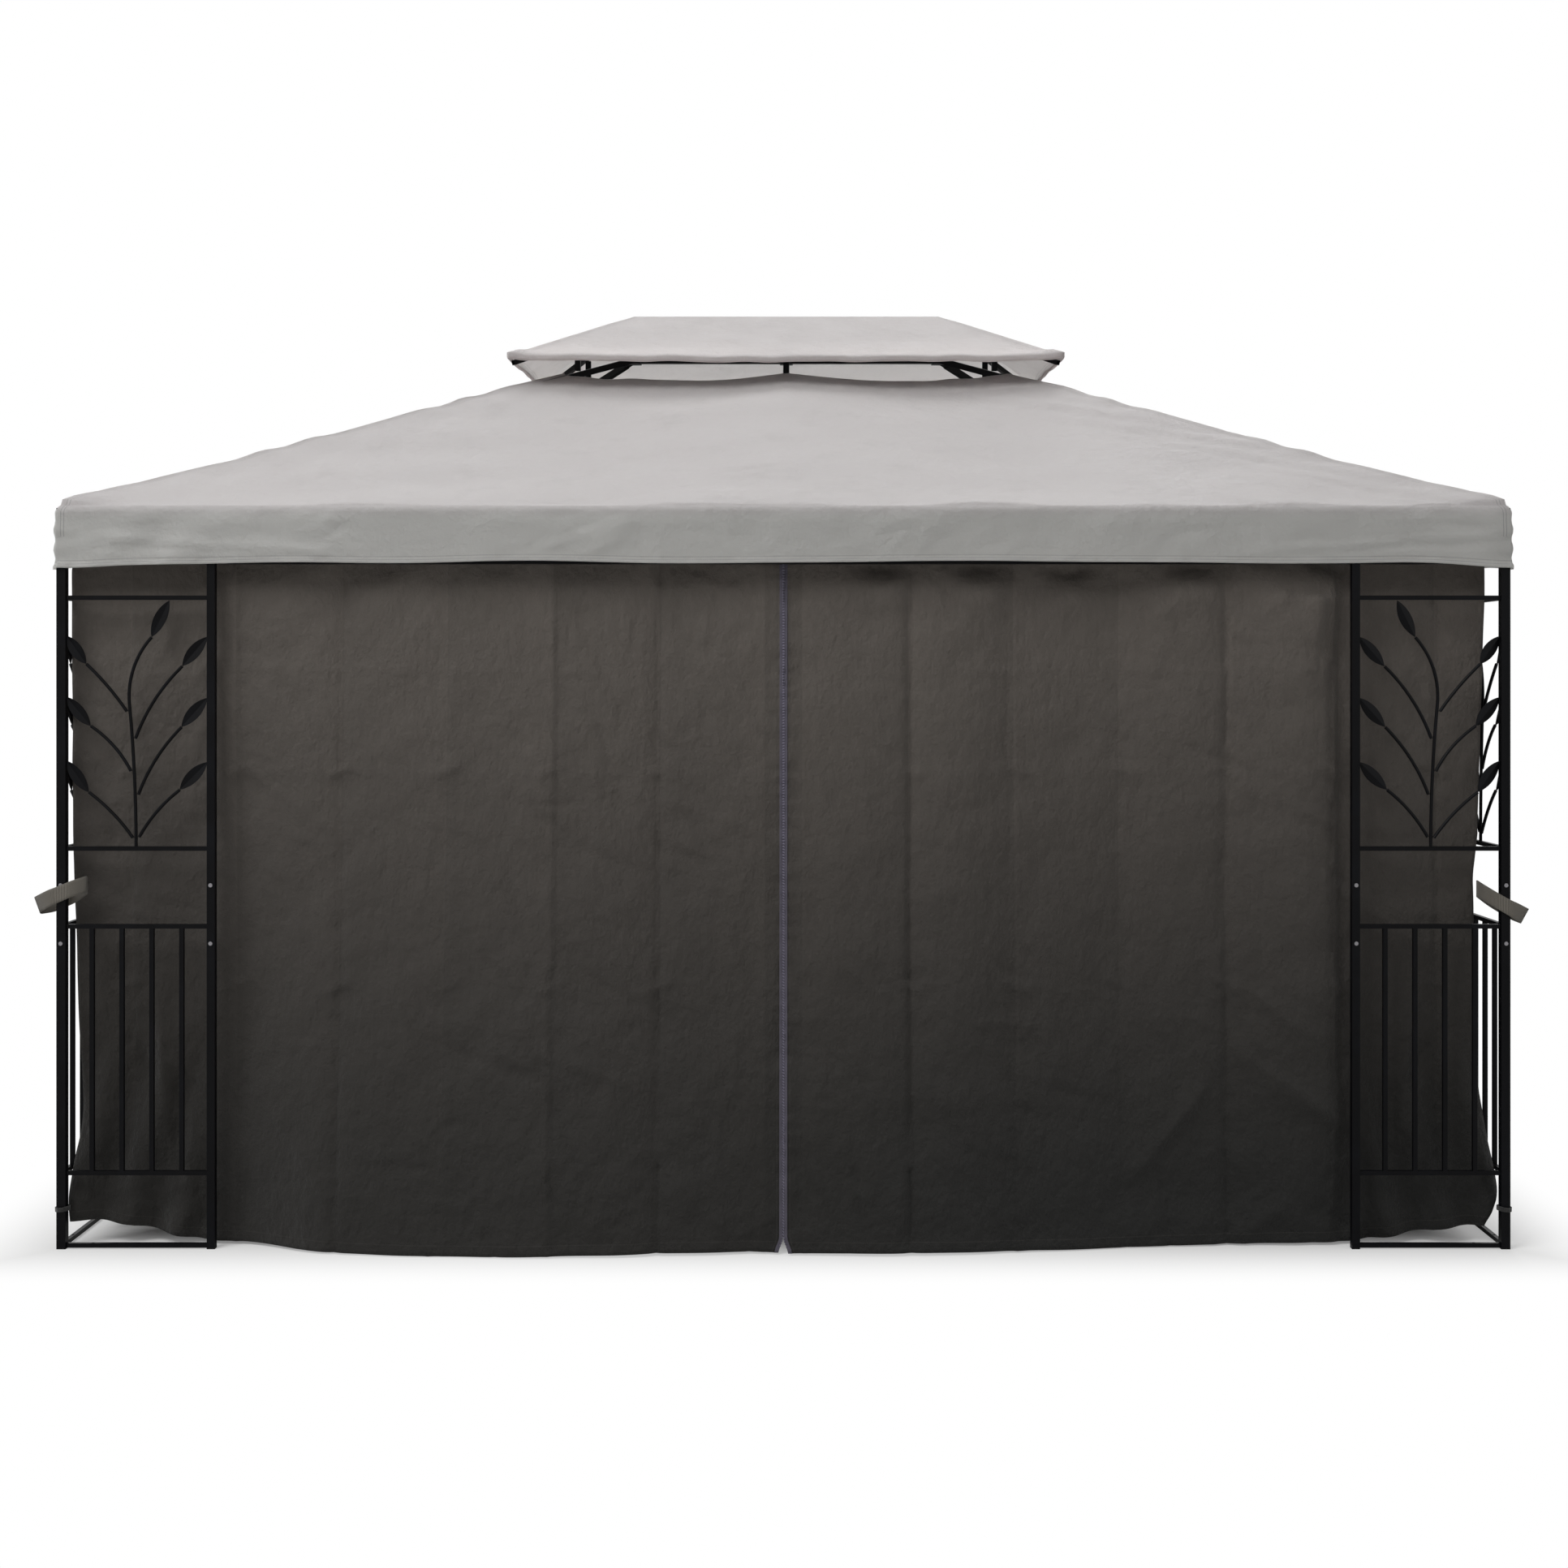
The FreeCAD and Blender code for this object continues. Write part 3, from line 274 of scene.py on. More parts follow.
def webbing(name, light, dark):
    """Narrow woven strap: ribs across its length, on UV in metres."""
    made = Finish(name, 0.8, Sheen_Weight=0.2)
    place = made.place("UV")
    _, along, _ = made.split(place)
    ribs = 0.5 + 0.5 * made.math("SINE", along * (TAU / 0.0024))
    fuzz = made.noise(place, 300, 3)
    made.colour(made.blend(ribs * 0.5 + fuzz * 0.3, dark, light))
    made.relief(ribs + fuzz * 0.5, 0.0006)
    return made.material


def plated(name, colour, roughness, metallic):
    """Small metal hardware with fine brushing."""
    made = Finish(name, roughness, metallic)
    place = made.place()
    grain = made.noise(place, 180, 4, 0.6, (1, 1, 0.2))
    made.colour(made.blend(grain, colour, tuple(0.8 * part for part in colour[:3]) + (1,)))
    made.rough(roughness + 0.15 * grain)
    made.relief(grain, 0.0002)
    return made.material


FRAME_STEEL = powder_coat("black_powder_coat", linear(4, 4, 6), linear(9, 10, 14), 0.4)
RAIL_STEEL = powder_coat("satin_black_rail", linear(9, 9, 10), linear(20, 20, 22), 0.34)
CANOPY = roof_cloth()
CURTAIN = curtain_cloth()
TAPE = webbing("zip_tape", linear(104, 100, 116), linear(70, 66, 76))
STRAP = webbing("strap_webbing", linear(122, 117, 108), linear(82, 78, 71))
HOOK_PATCH = webbing("hook_and_loop", linear(30, 29, 28), linear(12, 12, 12))
TEETH = plated("zip_teeth", linear(118, 114, 132), 0.42, 0.0)
BOLT_STEEL = plated("zinc_bolt", linear(150, 148, 152), 0.3, 1.0)
ZINC = plated("zinc_plate", linear(170, 172, 176), 0.35, 1.0)
FOOT_PLASTIC = powder_coat("moulded_black", linear(22, 22, 22), linear(38, 38, 38), 0.62)
SLIDER_METAL = plated("black_enamel", linear(20, 20, 22), 0.28, 0.4)

NODE_FINISH = {
    "panel_bolts": BOLT_STEEL,
    "tube_sleeves": ZINC,
    "post_feet": FOOT_PLASTIC,
    "curtain_rails": RAIL_STEEL,
}
for name, piece in frame["nodes"].items():
    finish = NODE_FINISH.get(name, SLIDER_METAL if name.startswith("zip_slider") else FRAME_STEEL)
    piece.data.materials.clear()
    piece.data.materials.append(finish)


# ------------------------------------------------------------------ surfaces


def mesh_piece(name, points, faces, finish, corner_uv=None, thickness=0.0, body=FRAME_BODY, slot=None):
    """A smooth piece from points and faces, with its UV map given per face corner."""
    mesh = bpy.data.meshes.new(name)
    mesh.from_pydata(points.reshape(-1, 3).tolist(), [], faces.tolist())
    mesh.polygons.foreach_set("use_smooth", np.ones(len(faces), bool))
    if corner_uv is not None:
        layer = mesh.uv_layers.new(name="cloth")
        layer.data.foreach_set("uv", corner_uv.astype(np.float32).ravel())
    mesh.materials.append(finish)
    mesh.update()
    piece = bpy.data.objects.new(name, mesh)
    bpy.context.scene.collection.objects.link(piece)
    if thickness:
        wall = piece.modifiers.new("thickness", "SOLIDIFY")
        wall.thickness = thickness
        wall.offset = 0
    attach(piece, body)
    return piece


def grid_faces(rows, columns, ring=False):
    """Point numbers of a grid's quads and, for the UV map, the same on a grid that isn't joined up."""
    across = columns if ring else columns - 1
    row, column = np.meshgrid(np.arange(rows - 1), np.arange(across), indexing="ij")
    beside = (column + 1) % columns
    quads = [row * columns + column, row * columns + beside]
    quads += [(row + 1) * columns + beside, (row + 1) * columns + column]
    wide = across + 1
    flat = [row * wide + column, row * wide + column + 1]
    flat += [(row + 1) * wide + column + 1, (row + 1) * wide + column]
    return np.stack(quads, -1).reshape(-1, 4), np.stack(flat, -1).reshape(-1, 4)


def sheet_piece(name, points, uv, finish, ring=False, flip=False, **rest):
    """A piece from a grid of points (rows, columns, 3); a ring's uv has one more column."""
    rows, columns = points.shape[:2]
    faces, corners = grid_faces(rows, columns, ring)
    if flip:
        faces, corners = faces[:, ::-1], corners[:, ::-1]
    corner_uv = uv.reshape(-1, 2)[corners.ravel()]
    return mesh_piece(name, points, faces, finish, corner_uv, **rest)


def soft(low, high, value):
    """A smooth step from 0 at low to 1 at high."""
    share = np.clip((value - low) / (high - low), 0, 1)
    return share * share * (3 - 2 * share)


def hump(value, centre, width):
    """A bell of height 1."""
    return np.exp(-(((value - centre) / width) ** 2))


def drift(across, up, seed, wavelength, count=14):
    """Slow uneven waves: a sum of sines in random directions, about -1 to 1."""
    draw = np.random.default_rng(seed)
    total = np.zeros(np.broadcast(across, up).shape)
    for _ in range(count):
        angle = draw.uniform(0, math.pi)
        pace = TAU / (wavelength * draw.uniform(0.6, 1.7))
        total += np.sin(pace * (across * math.cos(angle) + up * math.sin(angle)) + draw.uniform(0, TAU))
    return total / math.sqrt(count)


def crease(across, up, start, end, width, height):
    """A sharp-topped fold along a line from start to end, fading out at both ends."""
    start, end = np.array(start, float), np.array(end, float)
    run = end - start
    length = np.hypot(*run)
    run = run / length
    along = (across - start[0]) * run[0] + (up - start[1]) * run[1]
    aside = (up - start[1]) * run[0] - (across - start[0]) * run[1]
    ends = soft(-0.05 * length, 0.3 * length, along) * soft(1.05 * length, 0.7 * length, along)
    return height * ends * np.exp(-np.sqrt((aside / width) ** 2 + 0.04) + 0.2)


def crumples(across, up, seed, count, box, length, width, height, lean):
    """Many short creases thrown over a box, mostly along one direction."""
    draw = np.random.default_rng(seed)
    total = np.zeros(np.broadcast(across, up).shape)
    for _ in range(count):
        centre = draw.uniform(box[0], box[1]), draw.uniform(box[2], box[3])
        angle = lean + draw.normal(0, 0.45)
        half = draw.uniform(0.4, 1.0) * length / 2
        start = centre[0] - half * math.cos(angle), centre[1] - half * math.sin(angle)
        end = centre[0] + half * math.cos(angle), centre[1] + half * math.sin(angle)
        size = draw.uniform(0.4, 1.0)
        total += crease(across, up, start, end, width * size, draw.choice([-1, 1]) * height * size)
    return total


# ------------------------------------------------------------------ canopies

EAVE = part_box("main_canopy")[1]
VALANCE_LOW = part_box("main_canopy")[0].z
CROWN_LOW, CROWN_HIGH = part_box("vent_canopy")
ROOF_RISE = 0.647
EAVE_HEIGHT = VALANCE_LOW + 0.152
EAVE_ROLL = 0.024
EAVE_TURN = math.radians(66.5)
VENT_HALF = Vector((0.745, 0.225))
VENT_HEIGHT = EAVE.z
CORNER_SIGNS = [(-1, -1), (1, -1), (1, 1), (-1, 1)]


# Folds of the valance that run from a corner seam: start and end as (metres from the seam, share of
# the drop), and how far each stands out.
VALANCE_FOLDS = (
    ((-0.05, 0.42), (0.62, 0.78), 0.007),
    ((-0.05, 0.20), (0.42, 0.16), 0.005),
    ((-0.05, 0.33), (0.30, 0.30), -0.004),
    ((-0.05, 0.78), (0.55, 0.88), 0.004),
    ((0.45, 0.62), (0.78, 0.86), 0.005),
    ((0.62, 0.25), (0.95, 0.50), -0.003),
)


def ring_shares(side_counts, corner_count):
    """Round a rectangle from its front left corner: the side, the share along it and the corner turn."""
    sides, shares, turns = [], [], []
    for side, count in enumerate(side_counts):
        sides += [side] * (count + corner_count)
        spread = np.linspace(0, 1, count)
        shares += list(spread) + [1.0] * corner_count
        turns += [0.0] * count + list((np.arange(corner_count) + 1) / (corner_count + 1))
    return np.array(sides), np.array(shares), np.array(turns)


def ring_points(half_x, half_y, radius, shares):
    """Points of a rounded rectangle: straight stretches between quarter circles at the corners.

    half_x, half_y and radius are columns, one row of the sheet each.
    """
    sides, along, turns = shares
    starts = np.array([(-1, -1), (1, -1), (1, 1), (-1, 1)])
    ends = np.roll(starts, -1, 0)
    inner_x, inner_y = half_x - radius, half_y - radius
    outward = np.array([(0, -1), (1, 0), (0, 1), (-1, 0)])
    centre = starts[sides] * (1 - along[:, None]) + ends[sides] * along[:, None]
    angle = np.arctan2(outward[sides][:, 1], outward[sides][:, 0]) + turns * math.pi / 2
    x = inner_x * centre[:, 0] + radius * np.cos(angle)
    y = inner_y * centre[:, 1] + radius * np.sin(angle)
    return x, y


def main_canopy():
    """The main canopy: a ring from the vent opening down the four slopes, over the eave and down the valance.

    Each slope hangs between its rafters as a sine sag, creased at the middle rafter; the valance
    hangs plumb with slow waves, folds near its ends and a double hem.
    """
    shares = ring_shares([150, 110, 150, 110], 7)
    sides, along, turns = shares
    roof = np.linspace(0, 1, 54)
    roll = np.linspace(EAVE_TURN, 0, 8)[1:]
    drop = np.concatenate([np.linspace(0.22, 0.9, 11), [0.925, 0.95, 0.975, 1.0]])
    slope = np.concatenate([roof, np.ones(len(roll) + len(drop))])
    reach = np.concatenate([np.full(len(roof), math.cos(EAVE_TURN)), np.cos(roll), np.ones(len(drop))])
    inset = EAVE_ROLL * (1 - reach)
    half_x = VENT_HALF.x + (EAVE.x - inset - VENT_HALF.x) * slope
    half_y = VENT_HALF.y + (EAVE.y - inset - VENT_HALF.y) * slope
    shoulder = EAVE_HEIGHT - EAVE_ROLL * math.tan(EAVE_TURN / 2)
    roll_start = shoulder + EAVE_ROLL * math.sin(EAVE_TURN)
    height = np.concatenate(
        [
            VENT_HEIGHT + (roll_start - VENT_HEIGHT) * roof,
            shoulder + EAVE_ROLL * np.sin(roll),
            EAVE_HEIGHT - (EAVE_HEIGHT - VALANCE_LOW) * drop,
        ]
    )
    fall = np.maximum((EAVE_HEIGHT - height) / (EAVE_HEIGHT - VALANCE_LOW), 0)
    radius = 0.004 + 0.004 * soft(0.9, 1.0, slope)
    x, y = ring_points(half_x[:, None], half_y[:, None], radius[:, None], shares)
    z = height[:, None] + np.zeros_like(x)

    long_side = (sides % 2 == 0)[None, :]
    bays = np.where(long_side, 2 * along, along)
    bow = np.abs(np.sin(math.pi * bays))
    on_roof = (np.arange(len(slope)) < len(roof))[:, None]
    t = slope[:, None]
    sag = bow * (0.026 * (1 - t) ** 2 + 0.021 * np.sin(math.pi * np.clip(t, 0, 1)) ** 0.8)
    seam = np.minimum(along, 1 - along)[None, :] * 2 * np.where(long_side, half_x[:, None], half_y[:, None])
    seam = np.where(turns[None, :] > 0, 0, seam)
    sag = sag * on_roof
    rib = 0.0028 * hump(seam, 0, 0.012) * on_roof
    corner_bump = 0.012 * hump(seam, 0, 0.09) * soft(0.86, 0.93, t) * on_roof
    plan = np.where(long_side, x, y)
    down = (1 - t) * 1.38
    wrinkle = 0.0034 * drift(plan * 0.6, down, 11, 0.34) * soft(0.0, 0.12, seam)
    wrinkle += crumples(plan, down, 5, 46, (-1.6, 1.6, 0.1, 1.3), 0.5, 0.011, 0.0032, 0.12)
    side_lean = np.where(along < 0.5, 1, -1) * 0.6
    wrinkle += 0.0024 * np.sin(TAU * (seam + side_lean * down) / 0.17) * hump(seam, 0.16, 0.14)
    hip_pucker = 0.0030 * np.sin(TAU * down / 0.2 + 2 * np.sin(TAU * down / 0.53)) * hump(seam, 0, 0.07)
    edge_lift = 0.0035 * drift(plan, 0 * down, 21, 0.5) * (1 - t) ** 3
    z = z - sag + rib + corner_bump + (wrinkle + hip_pucker + edge_lift) * on_roof

    hang = soft(0.0, 0.3, fall)[:, None]
    wave = 0.0035 * drift(plan, 0.25 * z, 31, 0.55) + 0.0016 * drift(plan, z, 33, 0.16)
    wave += crumples(plan, z, 8, 34, (-1.9, 1.9, VALANCE_LOW, EAVE_HEIGHT), 0.34, 0.010, 0.0052, 0.35)
    tie = 0.004 * np.sin(TAU * (seam / 0.22 + fall[:, None] * 0.9)) * hump(seam, 0.22, 0.2)
    for start, end, height in VALANCE_FOLDS:
        tie += crease(seam, fall[:, None] + 0 * seam, start, end, 0.03, height)
    welt = 0.0022 * hump(seam, 0.066, 0.0035) - 0.0012 * hump(seam, 0.075, 0.004)
    hem = 0.0014 * soft(0.925, 0.94, fall)[:, None]
    slack = np.maximum(wave + tie + 0.0035, -0.0012)
    out = slack * hang * soft(0, 0.05, seam) + welt * soft(0.02, 0.1, fall)[:, None] + hem
    outward = np.array([(0, -1), (1, 0), (0, 1), (-1, 0)], float)[sides]
    angle = np.arctan2(outward[:, 1], outward[:, 0]) + turns * math.pi / 2
    pucker = (0.0026 + 0.0026 * np.sin(TAU * fall[:, None] * 3.3)) * hump(seam, 0, 0.03) * hang
    x = x + (out + pucker) * np.cos(angle)[None, :]
    y = y + (out + pucker) * np.sin(angle)[None, :]
    droop = 0.017 * hump(seam, 0, 0.16) + 0.004 * drift(plan, 0 * z, 41, 0.9)
    z = z - droop * fall[:, None]

    points = np.stack([x, y, z], -1)
    distance = np.where(on_roof, seam, np.minimum(seam, 0.5))
    hem_distance = (1 - fall[:, None]) * (EAVE_HEIGHT - VALANCE_LOW) + 0 * seam
    distance = np.where(fall[:, None] > 0.5, hem_distance, distance)
    run = np.where(fall[:, None] > 0.5, plan, down + 0 * seam)
    uv = np.stack([distance, run], -1)
    uv = np.concatenate([uv, uv[:, :1]], 1)
    piece = sheet_piece(
        "canopy_main", points, uv, CANOPY, ring=True, flip=True, thickness=CLOTH, slot="canopy_cloth"
    )
    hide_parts("main_canopy")
    gores = 2 * (EAVE.x + VENT_HALF.x) * math.hypot(EAVE.y - VENT_HALF.y, VENT_HEIGHT - EAVE_HEIGHT)
    gores += 2 * (EAVE.y + VENT_HALF.y) * math.hypot(EAVE.x - VENT_HALF.x, VENT_HEIGHT - EAVE_HEIGHT)
    return piece


def vent_canopy():
    """The small canopy: a ring from the ridge line down to its eave, with a hem turned under.

    Its eave is cut in a shallow curve between the corners, whose pockets sit on the arm ends.
    """
    shares = ring_shares([84, 42, 84, 42], 5)
    sides, along, turns = shares
    slope = np.concatenate([np.linspace(0, 1, 30), np.ones(5)])
    under = np.concatenate([np.zeros(30), np.linspace(0.2, 1, 5)])
    ridge_half = 0.525
    half_x = ridge_half + (CROWN_HIGH.x - ridge_half) * slope
    half_y = CROWN_HIGH.y * slope
    radius = 0.0005 + 0.012 * slope
    x, y = ring_points(half_x[:, None], np.maximum(half_y, 0.0006)[:, None], radius[:, None], shares)
    t = slope[:, None]
    eave = CROWN_LOW.z + 0.015
    z = CROWN_HIGH.z + (eave - CROWN_HIGH.z) * t + 0 * x
    long_side = (sides % 2 == 0)[None, :]
    bow = np.sin(math.pi * along)[None, :]
    cut = np.where(long_side, 0.012, 0.02) * bow * t**2
    outward = np.array([(0, -1), (1, 0), (0, 1), (-1, 0)], float)[sides]
    angle = np.arctan2(outward[:, 1], outward[:, 0]) + turns * math.pi / 2
    seam = np.minimum(along, 1 - along)[None, :] * 2 * np.where(long_side, half_x[:, None], half_y[:, None])
    seam = np.where(turns[None, :] > 0, 0, seam)
    plan = np.where(long_side, x, y)
    down = t * 0.44
    mid = np.where(long_side, np.abs(np.sin(TAU * along[None, :])), bow)
    z = z - 0.008 * mid * np.sin(math.pi * np.clip(t, 0, 1)) + 0.0022 * hump(seam, 0, 0.01) * soft(0.05, 0.2, t)
    z = z + (0.0022 * drift(plan, down, 61, 0.22)) * soft(0, 0.08, seam) * soft(0.0, 0.15, t)
    z = z + crumples(plan, down, 67, 22, (-0.9, 0.9, 0.03, 0.42), 0.28, 0.008, 0.0024, 0.9)
    pocket = hump(seam, 0, 0.045) * soft(0.86, 0.95, t)
    z = z + 0.009 * pocket
    turn_in = under[:, None]
    reach = -cut - 0.016 * soft(0.5, 1, turn_in) + 0.003 * pocket
    x = x + reach * np.cos(angle)[None, :]
    y = y + reach * np.sin(angle)[None, :]
    z = z - 0.016 * soft(0, 0.6, turn_in) - 0.004 * pocket * turn_in
    points = np.stack([x, y, z], -1)
    hem_distance = (1 - t) * 0.44 + 0 * seam
    distance = np.minimum(seam, hem_distance + 0 * seam)
    run = np.where(seam < hem_distance, down + 0 * seam, plan)
    uv = np.stack([distance, run], -1)
    uv = np.concatenate([uv, uv[:, :1]], 1)
    piece = sheet_piece(
        "canopy_vent", points, uv, CANOPY, ring=True, flip=True, thickness=CLOTH, slot="canopy_cloth"
    )
    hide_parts("vent_canopy")
    return piece


main_canopy()
vent_canopy()

# ------------------------------------------------------------------ curtains

SIDES = {
    "front": (0, -1),
    "back": (0, 1),
    "left": (1, -1),
    "right": (1, 1),
}
ROOM_SIDE = 0.0
RING_PITCH = 0.29
RING_FIRST = 0.04


def on_side(side, along, out, height):
    """Points of a curtain side: along it, out of the room, and up."""
    axis, sign = SIDES[side]
    first = along
    second = sign * out
    parts = (first, second, height) if axis == 0 else (second, first, height)
    return np.stack(np.broadcast_arrays(*parts), -1)


def front_depth(half, u, z):
    """How the front curtain departs from its rail plane, positive towards the viewer's side.

    u is metres from the zip and z the height. It billows between the inner posts, creases along
    its packing folds, swags between its hooks and puckers beside the zip.
    """
    left = half == "left"
    seed = 100 if left else 200
    doorway = soft(1.54, 1.2, u)
    rise = np.clip(1 - z / 1.9, 0, 1)
    swell = 0.118 + 0.03 * np.sin(math.pi * u / 1.3) if left else 0.118 * soft(1.5, 0.1, u) + 0.012
    depth = swell * doorway * rise**1.6
    fold = (u - 0.05) / FOLD_PITCH
    pleat = np.abs(np.sin(math.pi * fold)) ** 0.7
    strength = 0.014 if left else 0.02
    bays = np.floor(fold)
    uneven = 0.55 + 0.45 * np.sin(bays * 2.4 + seed)
    depth += strength * uneven * (pleat - 0.6) * soft(0.0, 0.3, z + 0.1)
    for bay in range(7):
        spot = 0.05 + FOLD_PITCH * bay
        sharp = 0.0078 * (0.6 + 0.4 * np.sin(bay * 1.9 + seed)) * (-1 if bay % 3 == 1 else 1)
        depth += crease(u, z, (spot, -0.9), (spot + 0.004, 2.8), 0.013, sharp)
    for centre in (0.272, 0.54, 0.79, 1.13, 1.47):
        size = 0.3 if left else 1
        depth -= size * 0.034 * hump(u, centre, 0.07) * np.exp(-np.clip(1.872 - z, 0, 1) / 0.03)
        depth += size * 0.016 * hump(u, centre + 0.02, 0.06) * hump(z, 1.80, 0.05)
    depth += 0.011 * drift(u, 0.4 * z, seed + 1, 0.9, 9)
    depth += 0.0030 * drift(u, z, seed + 2, 0.22)
    depth += crumples(u, z, seed + 3, 80, (0.05, 1.9, 0.0, 1.85), 0.42, 0.014, 0.0075, 0.9 if left else 2.2)
    depth += crumples(u, z, seed + 4, 90, (0.05, 1.9, 0.0, 1.85), 0.18, 0.008, 0.0045, 0.1)
    for level in (0.72, 1.315):
        for bay in range(1, 7):
            spot = 0.05 + FOLD_PITCH * bay
            depth += crease(u, z, (spot - 0.05, level + 0.02), (spot + 0.05, level - 0.02), 0.009, 0.009)
    depth += crease(u, z, (0.05, 1.58), (1.9, 1.60), 0.008, 0.0034)
    depth += crease(u, z, (0.05, 1.305), (1.9, 1.31), 0.008, 0.0034)
    depth += 0.0028 * np.sin(TAU * z / 0.052 + 3 * np.sin(TAU * z / 0.31)) * hump(u, 0.0, 0.035)
    if not left:
        depth += 0.034 * soft(1.28, 1.47, u) * soft(1.545, 1.492, u) * (0.45 + 0.55 * soft(0.1, 0.7, z))
        for start, end, height in (
            ((0.93, 0.16), (1.19, 0.47), 0.02),
            ((1.24, 0.01), (1.41, 0.135), 0.014),
            ((1.22, 0.56), (1.58, 0.32), 0.018),
            ((1.18, 0.78), (1.50, 0.55), 0.010),
            ((1.30, 1.72), (1.47, 1.90), 0.012),
            ((1.46, 1.62), (1.49, 1.90), 0.014),
            ((1.02, 1.70), (1.15, 1.88), 0.008),
        ):
            depth += crease(u, z, start, end, 0.022, height)
    behind = soft(1.56, 1.66, u)
    flare = np.sin(TAU * (u - 1.62 + 0.25 * (z - 0.12)) / 0.15) * soft(0.75, 0.2, z)
    tied = behind * (0.016 * flare + 0.018 * hump(z, 0.12, 0.07) * (u - 1.6) / 0.3)
    tied += behind * crease(u, z, (1.75, 0.80), (1.69, 0.10), 0.022, 0.016)
    tied -= behind * crease(u, z, (1.86, 0.62), (1.64, 0.34), 0.025, 0.012)
    return depth - 0.01 * behind + tied


def side_depth(seed, u, z, width):
    """A hanging curtain elsewhere: pleats below each ring, slow waves and crumples."""
    pleat = np.abs(np.sin(math.pi * u / RING_PITCH)) ** 0.8
    uneven = 0.6 + 0.4 * np.sin(np.floor(u / RING_PITCH) * 2.1 + seed)
    depth = 0.012 * uneven * (pleat - 0.6)
    depth += 0.014 * drift(u, 0.35 * z, seed + 1, 0.8, 9) * soft(1.9, 1.2, z)
    depth += 0.0028 * drift(u, z, seed + 2, 0.24)
    depth += crumples(u, z, seed + 3, 60, (0.05, width, 0.0, 1.85), 0.4, 0.012, 0.004, 1.1)
    depth += crumples(u, z, seed + 4, 40, (0.05, width, 0.0, 1.85), 0.15, 0.006, 0.0022, 0.1)
    swag = 0.5 + 0.5 * np.cos(TAU * (u - RING_FIRST) / RING_PITCH)
    depth += 0.014 * (swag - 0.5) * np.exp(-(1.90 - z) / 0.13)
    depth += 0.0026 * np.sin(TAU * z / 0.055 + 3 * np.sin(TAU * z / 0.3)) * hump(u, 0.0, 0.035)
    return depth


def hem_height(side, half, u):
    """Height of the lower edge: near the ground, and lifted where a tie pulls the outer corner in."""
    if side == "front":
        lift = 0.062 if half == "left" else 0.045
        return 0.006 + lift * soft(1.55, 1.95, u) + 0.003 * np.sin(5 * u)
    if side == "back":
        return 0.008 + 0.05 * soft(1.5, 1.95, u) + 0.003 * np.sin(4 * u)
    return 0.012 + 0.004 * np.sin(6 * u) + 0.06 * soft(1.08, 1.3, u)


# Height and reach from the zip of the front curtain's free edge, which its ties pull to the posts.
FREE_EDGE = {
    "left": (
        (0.0, 0.084, 0.17, 0.25, 0.32, 0.5, 1.0, 1.86, 1.892, 1.92),
        (1.972, 1.976, 1.972, 1.954, 1.948, 1.957, 1.971, 1.976, 1.975, 1.945),
    ),
    "right": (
        (0.0, 0.045, 0.107, 0.17, 0.24, 0.39, 0.62, 0.93, 1.0, 1.1, 1.5, 1.86, 1.892, 1.92),
        (1.94, 1.957, 1.976, 1.97, 1.955, 1.93, 1.922, 1.915, 1.914, 1.926, 1.94, 1.95, 1.95, 1.938),
    ),
}


def outer_edge(side, half, width, z):
    """How far the curtain reaches from the zip at a height: the free edge bellies and is tied in."""
    if side != "front":
        return width - 0.02 * hump(z, 0.96, 0.16) + 0.006 * np.sin(4.2 * z)
    nearby = [np.interp(z + shift, *FREE_EDGE[half]) for shift in (-0.02, -0.01, 0, 0.01, 0.02)]
    return sum(nearby) / len(nearby)


